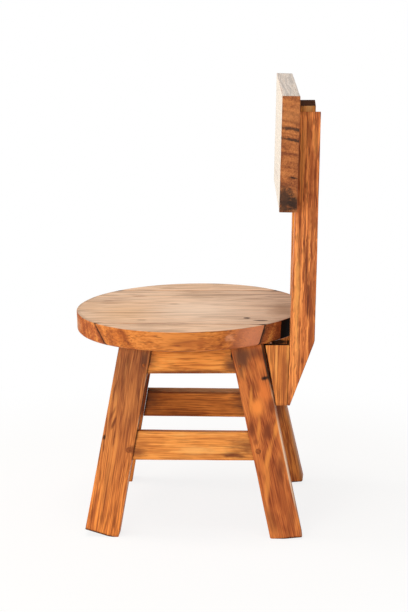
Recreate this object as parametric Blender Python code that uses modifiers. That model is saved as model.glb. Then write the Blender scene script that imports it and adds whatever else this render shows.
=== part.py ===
"""Child's wooden chair: round plank seat, leaning side frames, back posts and a plain back board.

Metres, +Z up. The sitter faces -Y, the back is at +Y, +X is the sitter's left. The origin is on the
floor, under the middle of the chair's bounding box.
"""

import math

import bmesh
import bpy
from mathutils import Matrix, Vector

# Space left between pieces that touch
CLEAR = 0.0003

# Seat, sawn from three glued planks, a little out of round and a little smaller below
SEAT_DIAMETER = 0.260
SEAT_OVAL = 0.040
SEAT_OVAL_HEADING = math.radians(-45.0)
SEAT_UNDERCUT = 0.0030
SEAT_TOP = 0.2427
SEAT_THICK = 0.0229
SEAT_JOINT = 0.0895
SEAT_EASE = 0.0025
SEAT_SEGMENTS = 96

# Leg base: two flat side frames that lean toward each other, turned a little under the seat
BASE_TURN = math.radians(-2.6)
SIDE_LEAN = math.radians(9.33)
FRAME_HALF = 0.1231
FRAME_THICK = 0.0245
LEG_WIDTH = 0.0366
LEG_EASE = 0.0020
FRONT_FOOT = -0.0766
REAR_FOOT = 0.0979
FRONT_RAKE = math.radians(9.5)
REAR_RAKE = math.radians(12.2)

# Feet: a level land at the inner end, the rest sawn to a rise
FRONT_LAND = 0.009
REAR_LAND = 0.015
FRONT_FOOT_RISE = math.radians(16.0)
REAR_FOOT_RISE = math.radians(11.0)

# Rails: aprons hang under the seat, stretchers stand above the floor
RAIL_THICK = 0.0200
RAIL_EASE = 0.0015
APRON_HEIGHT = 0.0336
STRETCHER_BOTTOM = 0.0900
STRETCHER_HEIGHT = 0.0303
CROSS_THICK = 0.0180
CROSS_STRETCHER_BOTTOM = 0.1290
CROSS_STRETCHER_HEIGHT = 0.0260

# Stub tenons, with a wall of wood between those that meet in one leg
TENON_THICK = 0.0080
TENON_SHOULDER = 0.0040
TENON_LENGTH = 0.0150
CROSS_TENON_LENGTH = 0.0115
TENON_ROOT = 0.0080
TENON_WALL = 0.0035

# Pegs through the tenons, from the outer face of a leg and stopping short of the inner one
PEG_STOP = 0.0045
PEG_RADIUS = 0.0029
PEG_INSET = 0.0058
PEG_RISE = 0.0100
PIN_RADIUS = 0.0019
PIN_INSET = 0.0052
PIN_RISE = 0.0082

# Back board
BOARD_WIDTH = 0.2142
BOARD_THICK = 0.0193
BOARD_HEIGHT = 0.1285
BOARD_RISE = 0.1319
BOARD_FRONT = 0.0999
BOARD_LEAN = math.radians(1.18)
BOARD_EASE = 0.0015

# Back posts, leaning like the side frames and a little outside their plane
POST_OUT = 0.0026
POST_THICK = 0.0245
POST_DROP = 0.0246
POST_TOP_DEPTH = 0.0257
POST_KNEE_RISE = 0.0020
POST_KNEE_DEPTH = 0.0270
POST_TAIL = 0.0698
POST_FOOT_DEPTH = 0.0030
POST_EASE = 0.0012

# Wedge blocks between the rear legs and the posts
WEDGE_FOOT = 0.0078
WEDGE_DROP = 0.0020

# Screws: pan heads in counterbores
SCREW_RADIUS = 0.0020
SCREW_HEAD_RADIUS = 0.0038
SCREW_HEAD_HEIGHT = 0.0026
SCREW_TIP = 0.0050
BORE_CLEAR = 0.0006
SEAT_SCREW_HALF = 0.040
SEAT_SCREW_BITE = 0.0130
SEAT_SCREW_GRIP = 0.0150
POST_SCREW_DROPS = {"upper": 0.0158, "lower": 0.0478}
POST_SCREW_WALL = 0.0015
POST_BORE = 0.0050
BOARD_SCREW_RISE = 0.0304
BOARD_SCREW_DROP = 0.0285
BOARD_SCREW_BITE = 0.0120
BOARD_BORE = 0.0070
ROUND_STEPS = 20

# Reach of the cuts beyond the pieces they saw
BIG = 0.30

SIDES = {"left": 1, "right": -1}
OUTWARD = {"front": -1, "rear": 1}
SEAT_UNDER = SEAT_TOP - SEAT_THICK
APRON_LOW = SEAT_UNDER - APRON_HEIGHT
CROSS_SET = TENON_LENGTH + TENON_WALL + TENON_THICK / 2
PEG_LENGTH = FRAME_THICK - PEG_STOP
BOARD_BOTTOM = SEAT_TOP + BOARD_RISE
POST_TOP = BOARD_BOTTOM + BOARD_HEIGHT - POST_DROP
POST_KNEE = SEAT_UNDER + POST_KNEE_RISE
POST_FOOT = SEAT_UNDER - POST_TAIL
POST_HALF = FRAME_HALF + POST_OUT
WEDGE_TOP = SEAT_UNDER - WEDGE_DROP
BORE_RADIUS = SCREW_HEAD_RADIUS + BORE_CLEAR
POST_SCREW_BITE = LEG_WIDTH - CROSS_SET - TENON_THICK / 2 - POST_SCREW_WALL


for old in list(bpy.data.objects):
    bpy.data.objects.remove(old, do_unlink=True)

parts = bpy.data.collections.new("round_seat_chair")
cutters = bpy.data.collections.new("cutters")
bpy.context.scene.collection.children.link(parts)
bpy.context.scene.collection.children.link(cutters)


def wood(name, colour, roughness):
    material = bpy.data.materials.new(name)
    material.use_nodes = True
    shader = material.node_tree.nodes["Principled BSDF"]
    shader.inputs["Base Color"].default_value = (*colour, 1.0)
    shader.inputs["Roughness"].default_value = roughness
    shader.inputs["Metallic"].default_value = 0.0
    return material


SEAT_WOOD = wood("seat_wood", (0.48, 0.24, 0.10), 0.42)
LEG_WOOD = wood("leg_wood", (0.36, 0.13, 0.04), 0.45)
RAIL_WOOD = wood("rail_wood", (0.45, 0.19, 0.05), 0.45)
POST_WOOD = wood("post_wood", (0.48, 0.19, 0.05), 0.45)
BOARD_WOOD = wood("board_wood", (0.42, 0.17, 0.05), 0.45)
PEG_WOOD = wood("peg_wood", (0.22, 0.08, 0.03), 0.50)
STEEL = wood("screw_steel", (0.55, 0.54, 0.50), 0.35)
STEEL.node_tree.nodes["Principled BSDF"].inputs["Metallic"].default_value = 1.0


# Places: each is a matrix in the frame of its parent empty
def empty(name, place, parent=None):
    holder = bpy.data.objects.new(name, None)
    parts.objects.link(holder)
    holder.empty_display_size = 0.03
    holder.parent = parent
    holder.matrix_local = place
    return holder


def lean_place(side, half):
    turn = Matrix.Rotation(-side * SIDE_LEAN, 4, "Y")
    return Matrix.Translation((side * half, 0.0, 0.0)) @ turn


def raked_place(foot, rake):
    return Matrix.Translation((0.0, foot, 0.0)) @ Matrix.Rotation(rake, 4, "X")


BASE_PLACE = Matrix.Rotation(BASE_TURN, 4, "Z")
LEG_PLACES = {"front": raked_place(FRONT_FOOT, -FRONT_RAKE), "rear": raked_place(REAR_FOOT, REAR_RAKE)}

chair = empty("chair", Matrix.Identity(4))
base = empty("leg_base", BASE_PLACE, chair)
back = empty("back", Matrix.Identity(4), chair)
frames = {n: empty("side_frame_" + n, lean_place(s, FRAME_HALF), base) for n, s in SIDES.items()}
stands = {n: empty("post_frame_" + n, lean_place(s, POST_HALF), back) for n, s in SIDES.items()}


def add(name, mesh, place, parent, material=None):
    piece = bpy.data.objects.new(name, mesh)
    piece.parent = parent
    piece.matrix_local = place
    if material is None:
        cutters.objects.link(piece)
        piece.hide_render = True
        piece.display_type = "WIRE"
    else:
        parts.objects.link(piece)
        mesh.materials.append(material)
    return piece


def box_mesh(name, low, high):
    low, high = Vector(low), Vector(high)
    size = high - low
    bm = bmesh.new()
    bmesh.ops.create_cube(bm, size=1.0)
    bm.transform(Matrix.Translation((low + high) / 2) @ Matrix.Diagonal((*size, 1.0)))
    mesh = bpy.data.meshes.new(name)
    bm.to_mesh(mesh)
    bm.free()
    return mesh


def box(name, low, high, parent, material=None, place=None):
    return add(name, box_mesh(name, low, high), place or Matrix.Identity(4), parent, material)


def rod(name, radius, length, place, parent, material=None):
    """Cylinder that starts at its origin and runs along its own +Z."""
    bm = bmesh.new()
    bmesh.ops.create_cone(
        bm, cap_ends=True, segments=ROUND_STEPS, radius1=radius, radius2=radius, depth=length
    )
    bm.transform(Matrix.Translation((0.0, 0.0, length / 2)))
    mesh = bpy.data.meshes.new(name)
    bm.to_mesh(mesh)
    bm.free()
    round_shading(mesh)
    return add(name, mesh, place, parent, material)


def round_shading(mesh):
    mesh.shade_smooth()
    mesh.set_sharp_from_angle(angle=math.radians(35.0))


def plate_mesh(name, outline, thickness):
    """Outline in the YZ plane, made thick along X from 0 toward -thickness."""
    curve = bpy.data.curves.new(name, "CURVE")
    curve.dimensions = "2D"
    curve.fill_mode = "BOTH"
    curve.extrude = abs(thickness) / 2
    spline = curve.splines.new("POLY")
    spline.points.add(len(outline) - 1)
    for point, (y, z) in zip(spline.points, outline):
        point.co = (y, z, 0.0, 1.0)
    spline.use_cyclic_u = True
    sketch = bpy.data.objects.new(name, curve)
    bpy.context.scene.collection.objects.link(sketch)
    graph = bpy.context.evaluated_depsgraph_get()
    mesh = bpy.data.meshes.new_from_object(sketch.evaluated_get(graph))
    bpy.data.objects.remove(sketch, do_unlink=True)
    upright = Matrix(((0, 0, 1, 0), (1, 0, 0, 0), (0, 1, 0, 0), (0, 0, 0, 1)))
    bm = bmesh.new()
    bm.from_mesh(mesh)
    bmesh.ops.remove_doubles(bm, verts=bm.verts, dist=0.00001)
    bm.transform(Matrix.Translation((-thickness / 2, 0.0, 0.0)) @ upright)
    bmesh.ops.recalc_face_normals(bm, faces=bm.faces)
    bm.to_mesh(mesh)
    bm.free()
    return mesh


def ease(piece, width, segments=2):
    bevel = piece.modifiers.new("eased_edges", "BEVEL")
    bevel.width = width
    bevel.segments = segments
    bevel.limit_method = "ANGLE"
    bevel.angle_limit = math.radians(30.0)


def boolean(piece, other, operation):
    modifier = piece.modifiers.new(other.name, "BOOLEAN")
    modifier.operation = operation
    modifier.solver = "EXACT"
    modifier.object = other


def cut(piece, *others):
    for other in others:
        boolean(piece, other, "DIFFERENCE")


def join(piece, *others):
    for other in others:
        boolean(piece, other, "UNION")


# Level cuts shared by the legs and rails
floor_cut = box("floor_cut", (-BIG, -BIG, -BIG), (BIG, BIG, 0.0), base)
seat_level_cut = box("seat_level_cut", (-BIG, -BIG, SEAT_UNDER - CLEAR), (BIG, BIG, BIG + SEAT_TOP), base)
foot_cuts = {}
for end, foot, land, rise in (
    ("front", FRONT_FOOT, FRONT_LAND, FRONT_FOOT_RISE),
    ("rear", REAR_FOOT, REAR_LAND, REAR_FOOT_RISE),
):
    out = OUTWARD[end]
    slope = Matrix.Translation((0.0, foot + out * land, 0.0)) @ Matrix.Rotation(out * rise, 4, "X")
    span = sorted((0.0, out * BIG))
    foot_cuts[end] = box(
        f"foot_cut_{end}", (-BIG, span[0], -BIG), (BIG, span[1], 0.0), base, place=slope
    )


# Side frames: two legs, an apron, a stretcher and their pegs
def along_lean(level):
    """Distance up a leaning face to a level above the floor."""
    return level / math.cos(SIDE_LEAN)


def inner_edge(end, height):
    """Where the inner face of a leg stands, fore and aft, at a height along the side frame."""
    if end == "front":
        return FRONT_FOOT + math.tan(FRONT_RAKE) * height
    return REAR_FOOT - math.tan(REAR_RAKE) * height


LEG_TOP = along_lean(SEAT_TOP) / math.cos(max(FRONT_RAKE, REAR_RAKE)) + LEG_WIDTH
STRETCHER_TOP = STRETCHER_BOTTOM + STRETCHER_HEIGHT
legs = {}
rails = {}
for name, side in SIDES.items():
    frame = frames[name]
    faces = sorted((-side * FRAME_THICK, 0.0))
    middle = -side * FRAME_THICK / 2
    spaces = {}
    for end in ("front", "rear"):
        out = OUTWARD[end]
        width = sorted((0.0, out * LEG_WIDTH))
        leg = box(
            f"leg_{end}_{name}",
            (faces[0], width[0], -LEG_WIDTH),
            (faces[1], width[1], LEG_TOP),
            frame,
            LEG_WOOD,
            LEG_PLACES[end],
        )
        ease(leg, LEG_EASE)
        cut(leg, floor_cut, foot_cuts[end], seat_level_cut)
        legs[end, name] = leg
        reach = sorted((-out * CLEAR, out * BIG))
        spaces[end] = box(
            f"leg_space_{end}_{name}",
            (-BIG, reach[0], -BIG),
            (BIG, reach[1], BIG),
            frame,
            place=LEG_PLACES[end],
        )
    for kind, low, high in (
        ("apron", along_lean(APRON_LOW), along_lean(SEAT_TOP)),
        ("stretcher", STRETCHER_BOTTOM, STRETCHER_TOP),
    ):
        rail = box(
            f"{kind}_side_{name}",
            (middle - RAIL_THICK / 2, -BIG, low),
            (middle + RAIL_THICK / 2, BIG, high),
            frame,
            RAIL_WOOD,
        )
        ease(rail, RAIL_EASE)
        cut(rail, spaces["front"], spaces["rear"])
        tenon_high = high - TENON_SHOULDER
        if kind == "apron":
            cut(rail, seat_level_cut)
            tenon_high = along_lean(SEAT_UNDER - TENON_SHOULDER)
        tenon_low = low + TENON_SHOULDER
        for end in ("front", "rear"):
            out = OUTWARD[end]
            edge = inner_edge(end, (tenon_low + tenon_high) / 2)
            run = sorted((edge - out * TENON_ROOT, edge + out * TENON_LENGTH))
            tenon = box(
                f"tenon_{kind}_{end}_{name}",
                (middle - TENON_THICK / 2, run[0], tenon_low),
                (middle + TENON_THICK / 2, run[1], tenon_high),
                frame,
            )
            mortise = box(
                f"mortise_{kind}_{end}_{name}",
                (middle - TENON_THICK / 2 - CLEAR, run[0] - CLEAR, tenon_low - CLEAR),
                (middle + TENON_THICK / 2 + CLEAR, run[1] + CLEAR, tenon_high + CLEAR),
                frame,
            )
            join(rail, tenon)
            cut(legs[end, name], mortise)
        rails[kind, name] = rail
    for kind, word, radius, inset, height in (
        ("stretcher", "peg", PEG_RADIUS, PEG_INSET, STRETCHER_BOTTOM + PEG_RISE),
        ("apron", "pin", PIN_RADIUS, PIN_INSET, along_lean(APRON_LOW) + PIN_RISE),
    ):
        for end in ("front", "rear"):
            across = inner_edge(end, height) + OUTWARD[end] * inset
            inward = Matrix.Rotation(-side * math.pi / 2, 4, "Y")
            place = Matrix.Translation((0.0, across, height)) @ inward
            rod(f"{word}_{end}_{name}", radius, PEG_LENGTH, place, frame, PEG_WOOD)
            start = Matrix.Translation((side * FRAME_THICK, across, height)) @ inward
            hole = rod(
                f"{word}_hole_{end}_{name}", radius + CLEAR, FRAME_THICK + PEG_LENGTH + CLEAR, start, frame
            )
            cut(legs[end, name], hole)
            cut(rails[kind, name], hole)


# Rails across the chair
cross_spaces = {}
for name, side in SIDES.items():
    reach = sorted((-side * (FRAME_THICK + CLEAR), side * BIG))
    cross_spaces[name] = box(
        f"side_space_{name}", (reach[0], -BIG, -BIG), (reach[1], BIG, BIG), frames[name]
    )
cross_rails = {}
cross_lines = {}
for end in ("front", "rear"):
    for kind, low, high in (
        ("apron", APRON_LOW, SEAT_UNDER - CLEAR),
        ("stretcher", CROSS_STRETCHER_BOTTOM, CROSS_STRETCHER_BOTTOM + CROSS_STRETCHER_HEIGHT),
    ):
        level = (low + high) / 2
        along = along_lean(level + FRAME_THICK / 2 * math.sin(SIDE_LEAN))
        line = inner_edge(end, along) + OUTWARD[end] * CROSS_SET
        rail = box(
            f"{kind}_{end}",
            (-BIG, line - CROSS_THICK / 2, low),
            (BIG, line + CROSS_THICK / 2, high),
            base,
            RAIL_WOOD,
        )
        ease(rail, RAIL_EASE)
        cut(rail, *cross_spaces.values())
        shoulder = FRAME_HALF - FRAME_THICK / math.cos(SIDE_LEAN) - level * math.tan(SIDE_LEAN)
        for name, side in SIDES.items():
            run = sorted((side * (shoulder - TENON_ROOT), side * (shoulder + CROSS_TENON_LENGTH)))
            tenon = box(
                f"tenon_{kind}_{end}_cross_{name}",
                (run[0], line - TENON_THICK / 2, low + TENON_SHOULDER),
                (run[1], line + TENON_THICK / 2, high - TENON_SHOULDER),
                base,
            )
            mortise = box(
                f"mortise_{kind}_{end}_cross_{name}",
                (run[0] - CLEAR, line - TENON_THICK / 2 - CLEAR, low + TENON_SHOULDER - CLEAR),
                (run[1] + CLEAR, line + TENON_THICK / 2 + CLEAR, high - TENON_SHOULDER + CLEAR),
                base,
            )
            join(rail, tenon)
            cut(legs[end, name], mortise)
        cross_rails[kind, end] = rail
        cross_lines[kind, end] = line


# Seat planks
def seat_mesh(name):
    bm = bmesh.new()
    bmesh.ops.create_cone(
        bm,
        cap_ends=True,
        segments=SEAT_SEGMENTS,
        radius1=SEAT_DIAMETER / 2 - SEAT_UNDERCUT,
        radius2=SEAT_DIAMETER / 2,
        depth=SEAT_THICK,
    )
    heading = Matrix.Rotation(SEAT_OVAL_HEADING, 4, "Z")
    oval = Matrix.Diagonal((1.0 + SEAT_OVAL, 1.0 - SEAT_OVAL, 1.0, 1.0))
    lift = Matrix.Translation((0.0, 0.0, SEAT_TOP - SEAT_THICK / 2))
    bm.transform(lift @ heading @ oval)
    mesh = bpy.data.meshes.new(name)
    bm.to_mesh(mesh)
    bm.free()
    round_shading(mesh)
    return mesh


planks = {}
for name, low, high in (
    ("seat_plank_middle", -SEAT_JOINT + CLEAR / 2, SEAT_JOINT - CLEAR / 2),
    ("seat_plank_left", SEAT_JOINT + CLEAR / 2, BIG),
    ("seat_plank_right", -BIG, -SEAT_JOINT - CLEAR / 2),
):
    plank = add(name, seat_mesh(name), Matrix.Identity(4), chair, SEAT_WOOD)
    ease(plank, SEAT_EASE, 3)
    width = box(name + "_width", (low, -BIG, 0.0), (high, BIG, BIG + SEAT_TOP), chair)
    boolean(plank, width, "INTERSECT")
    planks[name] = plank


# Back board
BOARD_PLACE = Matrix.Translation((0.0, BOARD_FRONT, BOARD_BOTTOM)) @ Matrix.Rotation(-BOARD_LEAN, 4, "X")
board = box(
    "back_board",
    (-BOARD_WIDTH / 2, 0.0, 0.0),
    (BOARD_WIDTH / 2, BOARD_THICK, BOARD_HEIGHT),
    back,
    BOARD_WOOD,
    BOARD_PLACE,
)
ease(board, BOARD_EASE)


# Posts: the front follows the board, then runs down to the foot; the rear slants in below the knee
POST_FOOT_FRONT = (
    inner_edge("rear", along_lean(POST_FOOT)) + LEG_WIDTH / math.cos(REAR_RAKE) + WEDGE_FOOT
)


def post_front(level):
    seat_line = BOARD_FRONT + BOARD_THICK / math.cos(BOARD_LEAN) + CLEAR
    if level >= BOARD_BOTTOM:
        return seat_line + math.tan(BOARD_LEAN) * (level - BOARD_BOTTOM)
    share = (level - POST_FOOT) / (BOARD_BOTTOM - POST_FOOT)
    return POST_FOOT_FRONT + share * (seat_line - POST_FOOT_FRONT)


def post_rear(level):
    knee = post_front(POST_KNEE) + POST_KNEE_DEPTH
    if level >= POST_KNEE:
        share = (level - POST_KNEE) / (POST_TOP - POST_KNEE)
        return knee + share * (post_front(POST_TOP) + POST_TOP_DEPTH - knee)
    share = (level - POST_FOOT) / (POST_KNEE - POST_FOOT)
    heel = POST_FOOT_FRONT + POST_FOOT_DEPTH
    return heel + share * (knee - heel)


POST_OUTLINE = [
    (post_front(POST_FOOT), along_lean(POST_FOOT)),
    (post_rear(POST_FOOT), along_lean(POST_FOOT)),
    (post_rear(POST_KNEE), along_lean(POST_KNEE)),
    (post_rear(POST_TOP), along_lean(POST_TOP)),
    (post_front(POST_TOP), along_lean(POST_TOP)),
    (post_front(BOARD_BOTTOM), along_lean(BOARD_BOTTOM)),
]
FRONT_SLANT = math.atan2(
    post_front(BOARD_BOTTOM) - post_front(POST_FOOT), along_lean(BOARD_BOTTOM) - along_lean(POST_FOOT)
)
FRONT_PLACE = Matrix.Translation((0.0, post_front(POST_FOOT), along_lean(POST_FOOT))) @ Matrix.Rotation(
    -FRONT_SLANT, 4, "X"
)
posts = {}
wedges = {}
for name, side in SIDES.items():
    stand = stands[name]
    mesh = plate_mesh(f"post_{name}", POST_OUTLINE, side * POST_THICK)
    post = add(f"post_{name}", mesh, Matrix.Identity(4), stand, POST_WOOD)
    ease(post, POST_EASE)
    posts[name] = post
    faces = sorted((-side * POST_THICK, 0.0))
    notch = box(
        f"seat_notch_{name}",
        (faces[0] - 2 * CLEAR, -2 * CLEAR, 0.0),
        (faces[1] + 2 * CLEAR, BIG, BIG),
        stand,
        place=FRONT_PLACE,
    )
    cut(planks["seat_plank_middle"], notch)
    cut(planks[f"seat_plank_{name}"], notch)
    wedge = box(
        f"wedge_block_{name}",
        (faces[0], 0.0, along_lean(POST_FOOT)),
        (faces[1], BIG, along_lean(WEDGE_TOP)),
        stand,
        POST_WOOD,
    )
    post_space = box(
        f"post_space_{name}", (-BIG, -CLEAR, -BIG), (BIG, 2 * BIG, BIG), stand, place=FRONT_PLACE
    )
    leg_space = box(
        f"rear_leg_space_{name}",
        (-BIG, -2 * BIG, -BIG),
        (BIG, LEG_WIDTH + CLEAR, BIG),
        frames[name],
        place=LEG_PLACES["rear"],
    )
    cut(wedge, post_space, leg_space)
    wedges[name] = wedge


# Screws and their holes
def screw(name, length, place, parent):
    """Pan-head screw along its own +Z; the origin is the middle of the underside of the head."""
    profile = [
        (0.0, -SCREW_HEAD_HEIGHT),
        (SCREW_HEAD_RADIUS * 0.78, -SCREW_HEAD_HEIGHT),
        (SCREW_HEAD_RADIUS, -SCREW_HEAD_HEIGHT * 0.55),
        (SCREW_HEAD_RADIUS, 0.0),
        (SCREW_RADIUS, 0.0),
        (SCREW_RADIUS, length - SCREW_TIP),
        (0.0, length),
    ]
    mesh = bpy.data.meshes.new(name)
    bm = bmesh.new()
    points = [bm.verts.new((radius, 0.0, height)) for radius, height in reversed(profile)]
    for first, second in zip(points, points[1:]):
        bm.edges.new((first, second))
    bm.to_mesh(mesh)
    bm.free()
    piece = add(name, mesh, place, parent, STEEL)
    lathe = piece.modifiers.new("turned", "SCREW")
    lathe.axis = "Z"
    lathe.angle = math.tau
    lathe.screw_offset = 0.0
    lathe.steps = ROUND_STEPS
    lathe.render_steps = ROUND_STEPS
    lathe.use_merge_vertices = True
    lathe.merge_threshold = 0.00001
    lathe.use_smooth_shade = False
    return piece


def screw_holes(name, length, bore, place, parent):
    """Counterbore behind the head and clearance hole for the shank, both a little larger than the screw."""
    back_off = Matrix.Translation((0.0, 0.0, -bore - SCREW_HEAD_HEIGHT))
    head = rod(f"bore_{name}", BORE_RADIUS, bore + SCREW_HEAD_HEIGHT - CLEAR, place @ back_off, parent)
    shank_start = place @ Matrix.Translation((0.0, 0.0, -SCREW_HEAD_HEIGHT))
    shank = rod(
        f"hole_{name}", SCREW_RADIUS + CLEAR, length + SCREW_HEAD_HEIGHT + 2 * CLEAR, shank_start, parent
    )
    return head, shank


for end in ("front", "rear"):
    rail = cross_rails["apron", end]
    for name, side in SIDES.items():
        label = f"seat_screw_{end}_{name}"
        seat_level = SEAT_UNDER - CLEAR - SEAT_SCREW_GRIP
        place = Matrix.Translation((side * SEAT_SCREW_HALF, cross_lines["apron", end], seat_level))
        length = SEAT_SCREW_GRIP + CLEAR + SEAT_SCREW_BITE
        screw(label, length, Matrix.Translation((0, 0, -CLEAR)) @ place, base)
        head, shank = screw_holes(label, length, APRON_HEIGHT, place, base)
        cut(rail, head, shank)
        cut(planks["seat_plank_middle"], shank)

TO_FRONT = Matrix.Rotation(math.pi / 2, 4, "X")


def rear_leg_back(side, level):
    """Where the rear face of the rear leg stands, fore and aft, on the middle line of the post."""
    stand_place = lean_place(side, POST_HALF)
    leg_place = BASE_PLACE @ lean_place(side, FRAME_HALF) @ LEG_PLACES["rear"]
    on_face = stand_place.inverted() @ leg_place @ Vector((0.0, LEG_WIDTH, 0.0))
    normal = (stand_place.inverted() @ leg_place).to_3x3() @ Vector((0.0, 1.0, 0.0))
    spot = Vector((-side * POST_THICK / 2, 0.0, along_lean(level)))
    return (on_face - spot).dot(normal) / normal.y


board_screw_levels = {"upper": POST_TOP - BOARD_SCREW_DROP, "lower": BOARD_BOTTOM + BOARD_SCREW_RISE}
for name, side in SIDES.items():
    stand = stands[name]
    for word, drop in POST_SCREW_DROPS.items():
        label = f"post_screw_{word}_{name}"
        level = SEAT_UNDER - drop
        seat = post_rear(level) - POST_BORE
        length = seat - rear_leg_back(side, level) + POST_SCREW_BITE
        spot = Matrix.Translation((-side * POST_THICK / 2, seat, along_lean(level)))
        screw(label, length, Matrix.Translation((0.0, CLEAR, 0.0)) @ spot @ TO_FRONT, stand)
        head, shank = screw_holes(label, length, POST_KNEE_DEPTH, spot @ TO_FRONT, stand)
        cut(posts[name], head, shank)
        cut(wedges[name], shank)
        cut(legs["rear", name], shank)
    for word, level in board_screw_levels.items():
        label = f"board_screw_{word}_{name}"
        seat = post_rear(level) - BOARD_BORE
        length = seat - post_front(level) + BOARD_SCREW_BITE
        spot = Matrix.Translation((-side * POST_THICK / 2, seat, along_lean(level)))
        screw(label, length, Matrix.Translation((0.0, CLEAR, 0.0)) @ spot @ TO_FRONT, stand)
        head, shank = screw_holes(label, length, POST_TOP_DEPTH, spot @ TO_FRONT, stand)
        cut(posts[name], head, shank)
        cut(board, shank)


# The origin goes to the floor under the middle of the whole chair
bpy.context.view_layer.update()
graph = bpy.context.evaluated_depsgraph_get()
points = []
for piece in parts.objects:
    if piece.type == "MESH":
        shape = piece.evaluated_get(graph)
        points += [shape.matrix_world @ vertex.co for vertex in shape.data.vertices]
low = Vector(min(point[i] for point in points) for i in range(3))
high = Vector(max(point[i] for point in points) for i in range(3))
chair.location = (-(low.x + high.x) / 2, -(low.y + high.y) / 2, -low.z)
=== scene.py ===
import math
from functools import partial

import bmesh
import bpy
from mathutils import Matrix, Vector, noise


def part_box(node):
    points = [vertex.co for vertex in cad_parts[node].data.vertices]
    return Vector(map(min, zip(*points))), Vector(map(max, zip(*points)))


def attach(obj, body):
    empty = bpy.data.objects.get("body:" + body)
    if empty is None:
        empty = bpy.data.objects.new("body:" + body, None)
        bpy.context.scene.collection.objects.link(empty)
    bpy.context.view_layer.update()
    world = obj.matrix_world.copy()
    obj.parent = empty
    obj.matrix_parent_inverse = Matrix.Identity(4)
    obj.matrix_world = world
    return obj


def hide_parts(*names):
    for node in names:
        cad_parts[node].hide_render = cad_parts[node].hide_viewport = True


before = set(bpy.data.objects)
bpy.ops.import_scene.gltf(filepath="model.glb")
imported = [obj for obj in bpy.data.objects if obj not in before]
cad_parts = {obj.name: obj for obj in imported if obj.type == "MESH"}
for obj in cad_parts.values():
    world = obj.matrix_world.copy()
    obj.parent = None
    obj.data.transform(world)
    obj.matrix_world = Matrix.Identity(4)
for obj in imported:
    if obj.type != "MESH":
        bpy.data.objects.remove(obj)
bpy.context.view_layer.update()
print("frame loaded,", len(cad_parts), "nodes")

scene = bpy.context.scene
scene.view_settings.view_transform = "Standard"

# where the seat stands in the frame, read from its three planks
plankNames = ("seat_plank_left", "seat_plank_middle", "seat_plank_right")
plankBoxes = [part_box(name) for name in plankNames]
seatLow = Vector([min(box[0][i] for box in plankBoxes) for i in range(3)])
seatHigh = Vector([max(box[1][i] for box in plankBoxes) for i in range(3)])
seatCentre = Vector(((seatLow.x + seatHigh.x) / 2, (seatLow.y + seatHigh.y) / 2, 0))

build = {
    "gap": 0.0003,  # between pieces that touch
    "lean": math.radians(9.33),  # both side frames and both posts lean in by this
    "turn": math.radians(-2.6),  # the leg base sits a little turned under the seat
    "frameHalf": 0.1231,
    "frameThick": 0.0245,
    "postHalf": 0.1257,
}
gap = build["gap"]
sides = {"left": 1, "right": -1}
outward = {"front": -1, "rear": 1}


# places: Z runs up the lean of a side frame or a post
def sidePlace(parent, side, half):
    return parent @ Matrix.Translation((side * half, 0, 0)) @ Matrix.Rotation(-side * build["lean"], 4, "Y")


def upLean(level):
    return level / math.cos(build["lean"])


seatPlace = Matrix.Translation(seatCentre)
basePlace = seatPlace @ Matrix.Rotation(build["turn"], 4, "Z")
framePlaces = {name: sidePlace(basePlace, side, build["frameHalf"]) for name, side in sides.items()}
postPlaces = {name: sidePlace(seatPlace, side, build["postHalf"]) for name, side in sides.items()}

# turns that lay a piece's length along its own Z
alongY = Matrix.Rotation(-math.pi / 2, 4, "X")  # local y then points down
alongX = Matrix.Rotation(math.pi / 2, 4, "Y")  # local x then points down


# camera
view = {
    "eye": seatCentre + Vector((2.7940, -0.0001, 0.8633)),
    "down": math.radians(12.506),
    "turn": math.radians(0.333),
    "focal": 2451.2,  # in pixels of the photo
    "pixels": 612,
    "film": 36.0,
}


def addCamera():
    camera = bpy.data.cameras.new("camera")
    camera.sensor_fit = "VERTICAL"
    camera.sensor_height = view["film"]
    camera.lens = view["focal"] / view["pixels"] * view["film"]
    camera.clip_end = 50.0
    ahead = Vector((
        -math.cos(view["turn"]) * math.cos(view["down"]),
        math.sin(view["turn"]) * math.cos(view["down"]),
        -math.sin(view["down"]),
    ))
    right = Vector((math.sin(view["turn"]), math.cos(view["turn"]), 0))
    up = right.cross(ahead)
    holder = bpy.data.objects.new("camera", camera)
    scene.collection.objects.link(holder)
    holder.matrix_world = Matrix.Translation(view["eye"]) @ Matrix((right, up, -ahead)).transposed().to_4x4()
    scene.camera = holder


addCamera()
print("camera set")


# node helpers
def feed(tree, socket, value):
    if isinstance(value, bpy.types.NodeSocket):
        tree.links.new(value, socket)
    else:
        socket.default_value = value


def addNode(tree, kind, inputs=(), **settings):
    node = tree.nodes.new(kind)
    for key, value in settings.items():
        setattr(node, key, value)
    for key, value in dict(inputs).items():
        feed(tree, node.inputs[key], value)
    return node


def mathOp(tree, operation, *values):
    return addNode(tree, "ShaderNodeMath", enumerate(values), operation=operation).outputs[0]


def vectorOp(tree, operation, *values):
    node = addNode(tree, "ShaderNodeVectorMath", enumerate(values), operation=operation)
    return node.outputs["Value" if operation in ("LENGTH", "DOT_PRODUCT") else "Vector"]


def remap(tree, value, low, high, toLow=0.0, toHigh=1.0, smooth=False):
    limits = {"Value": value, "From Min": low, "From Max": high, "To Min": toLow, "To Max": toHigh}
    kind = "SMOOTHSTEP" if smooth else "LINEAR"
    return addNode(tree, "ShaderNodeMapRange", limits, clamp=True, interpolation_type=kind).outputs["Result"]


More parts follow.
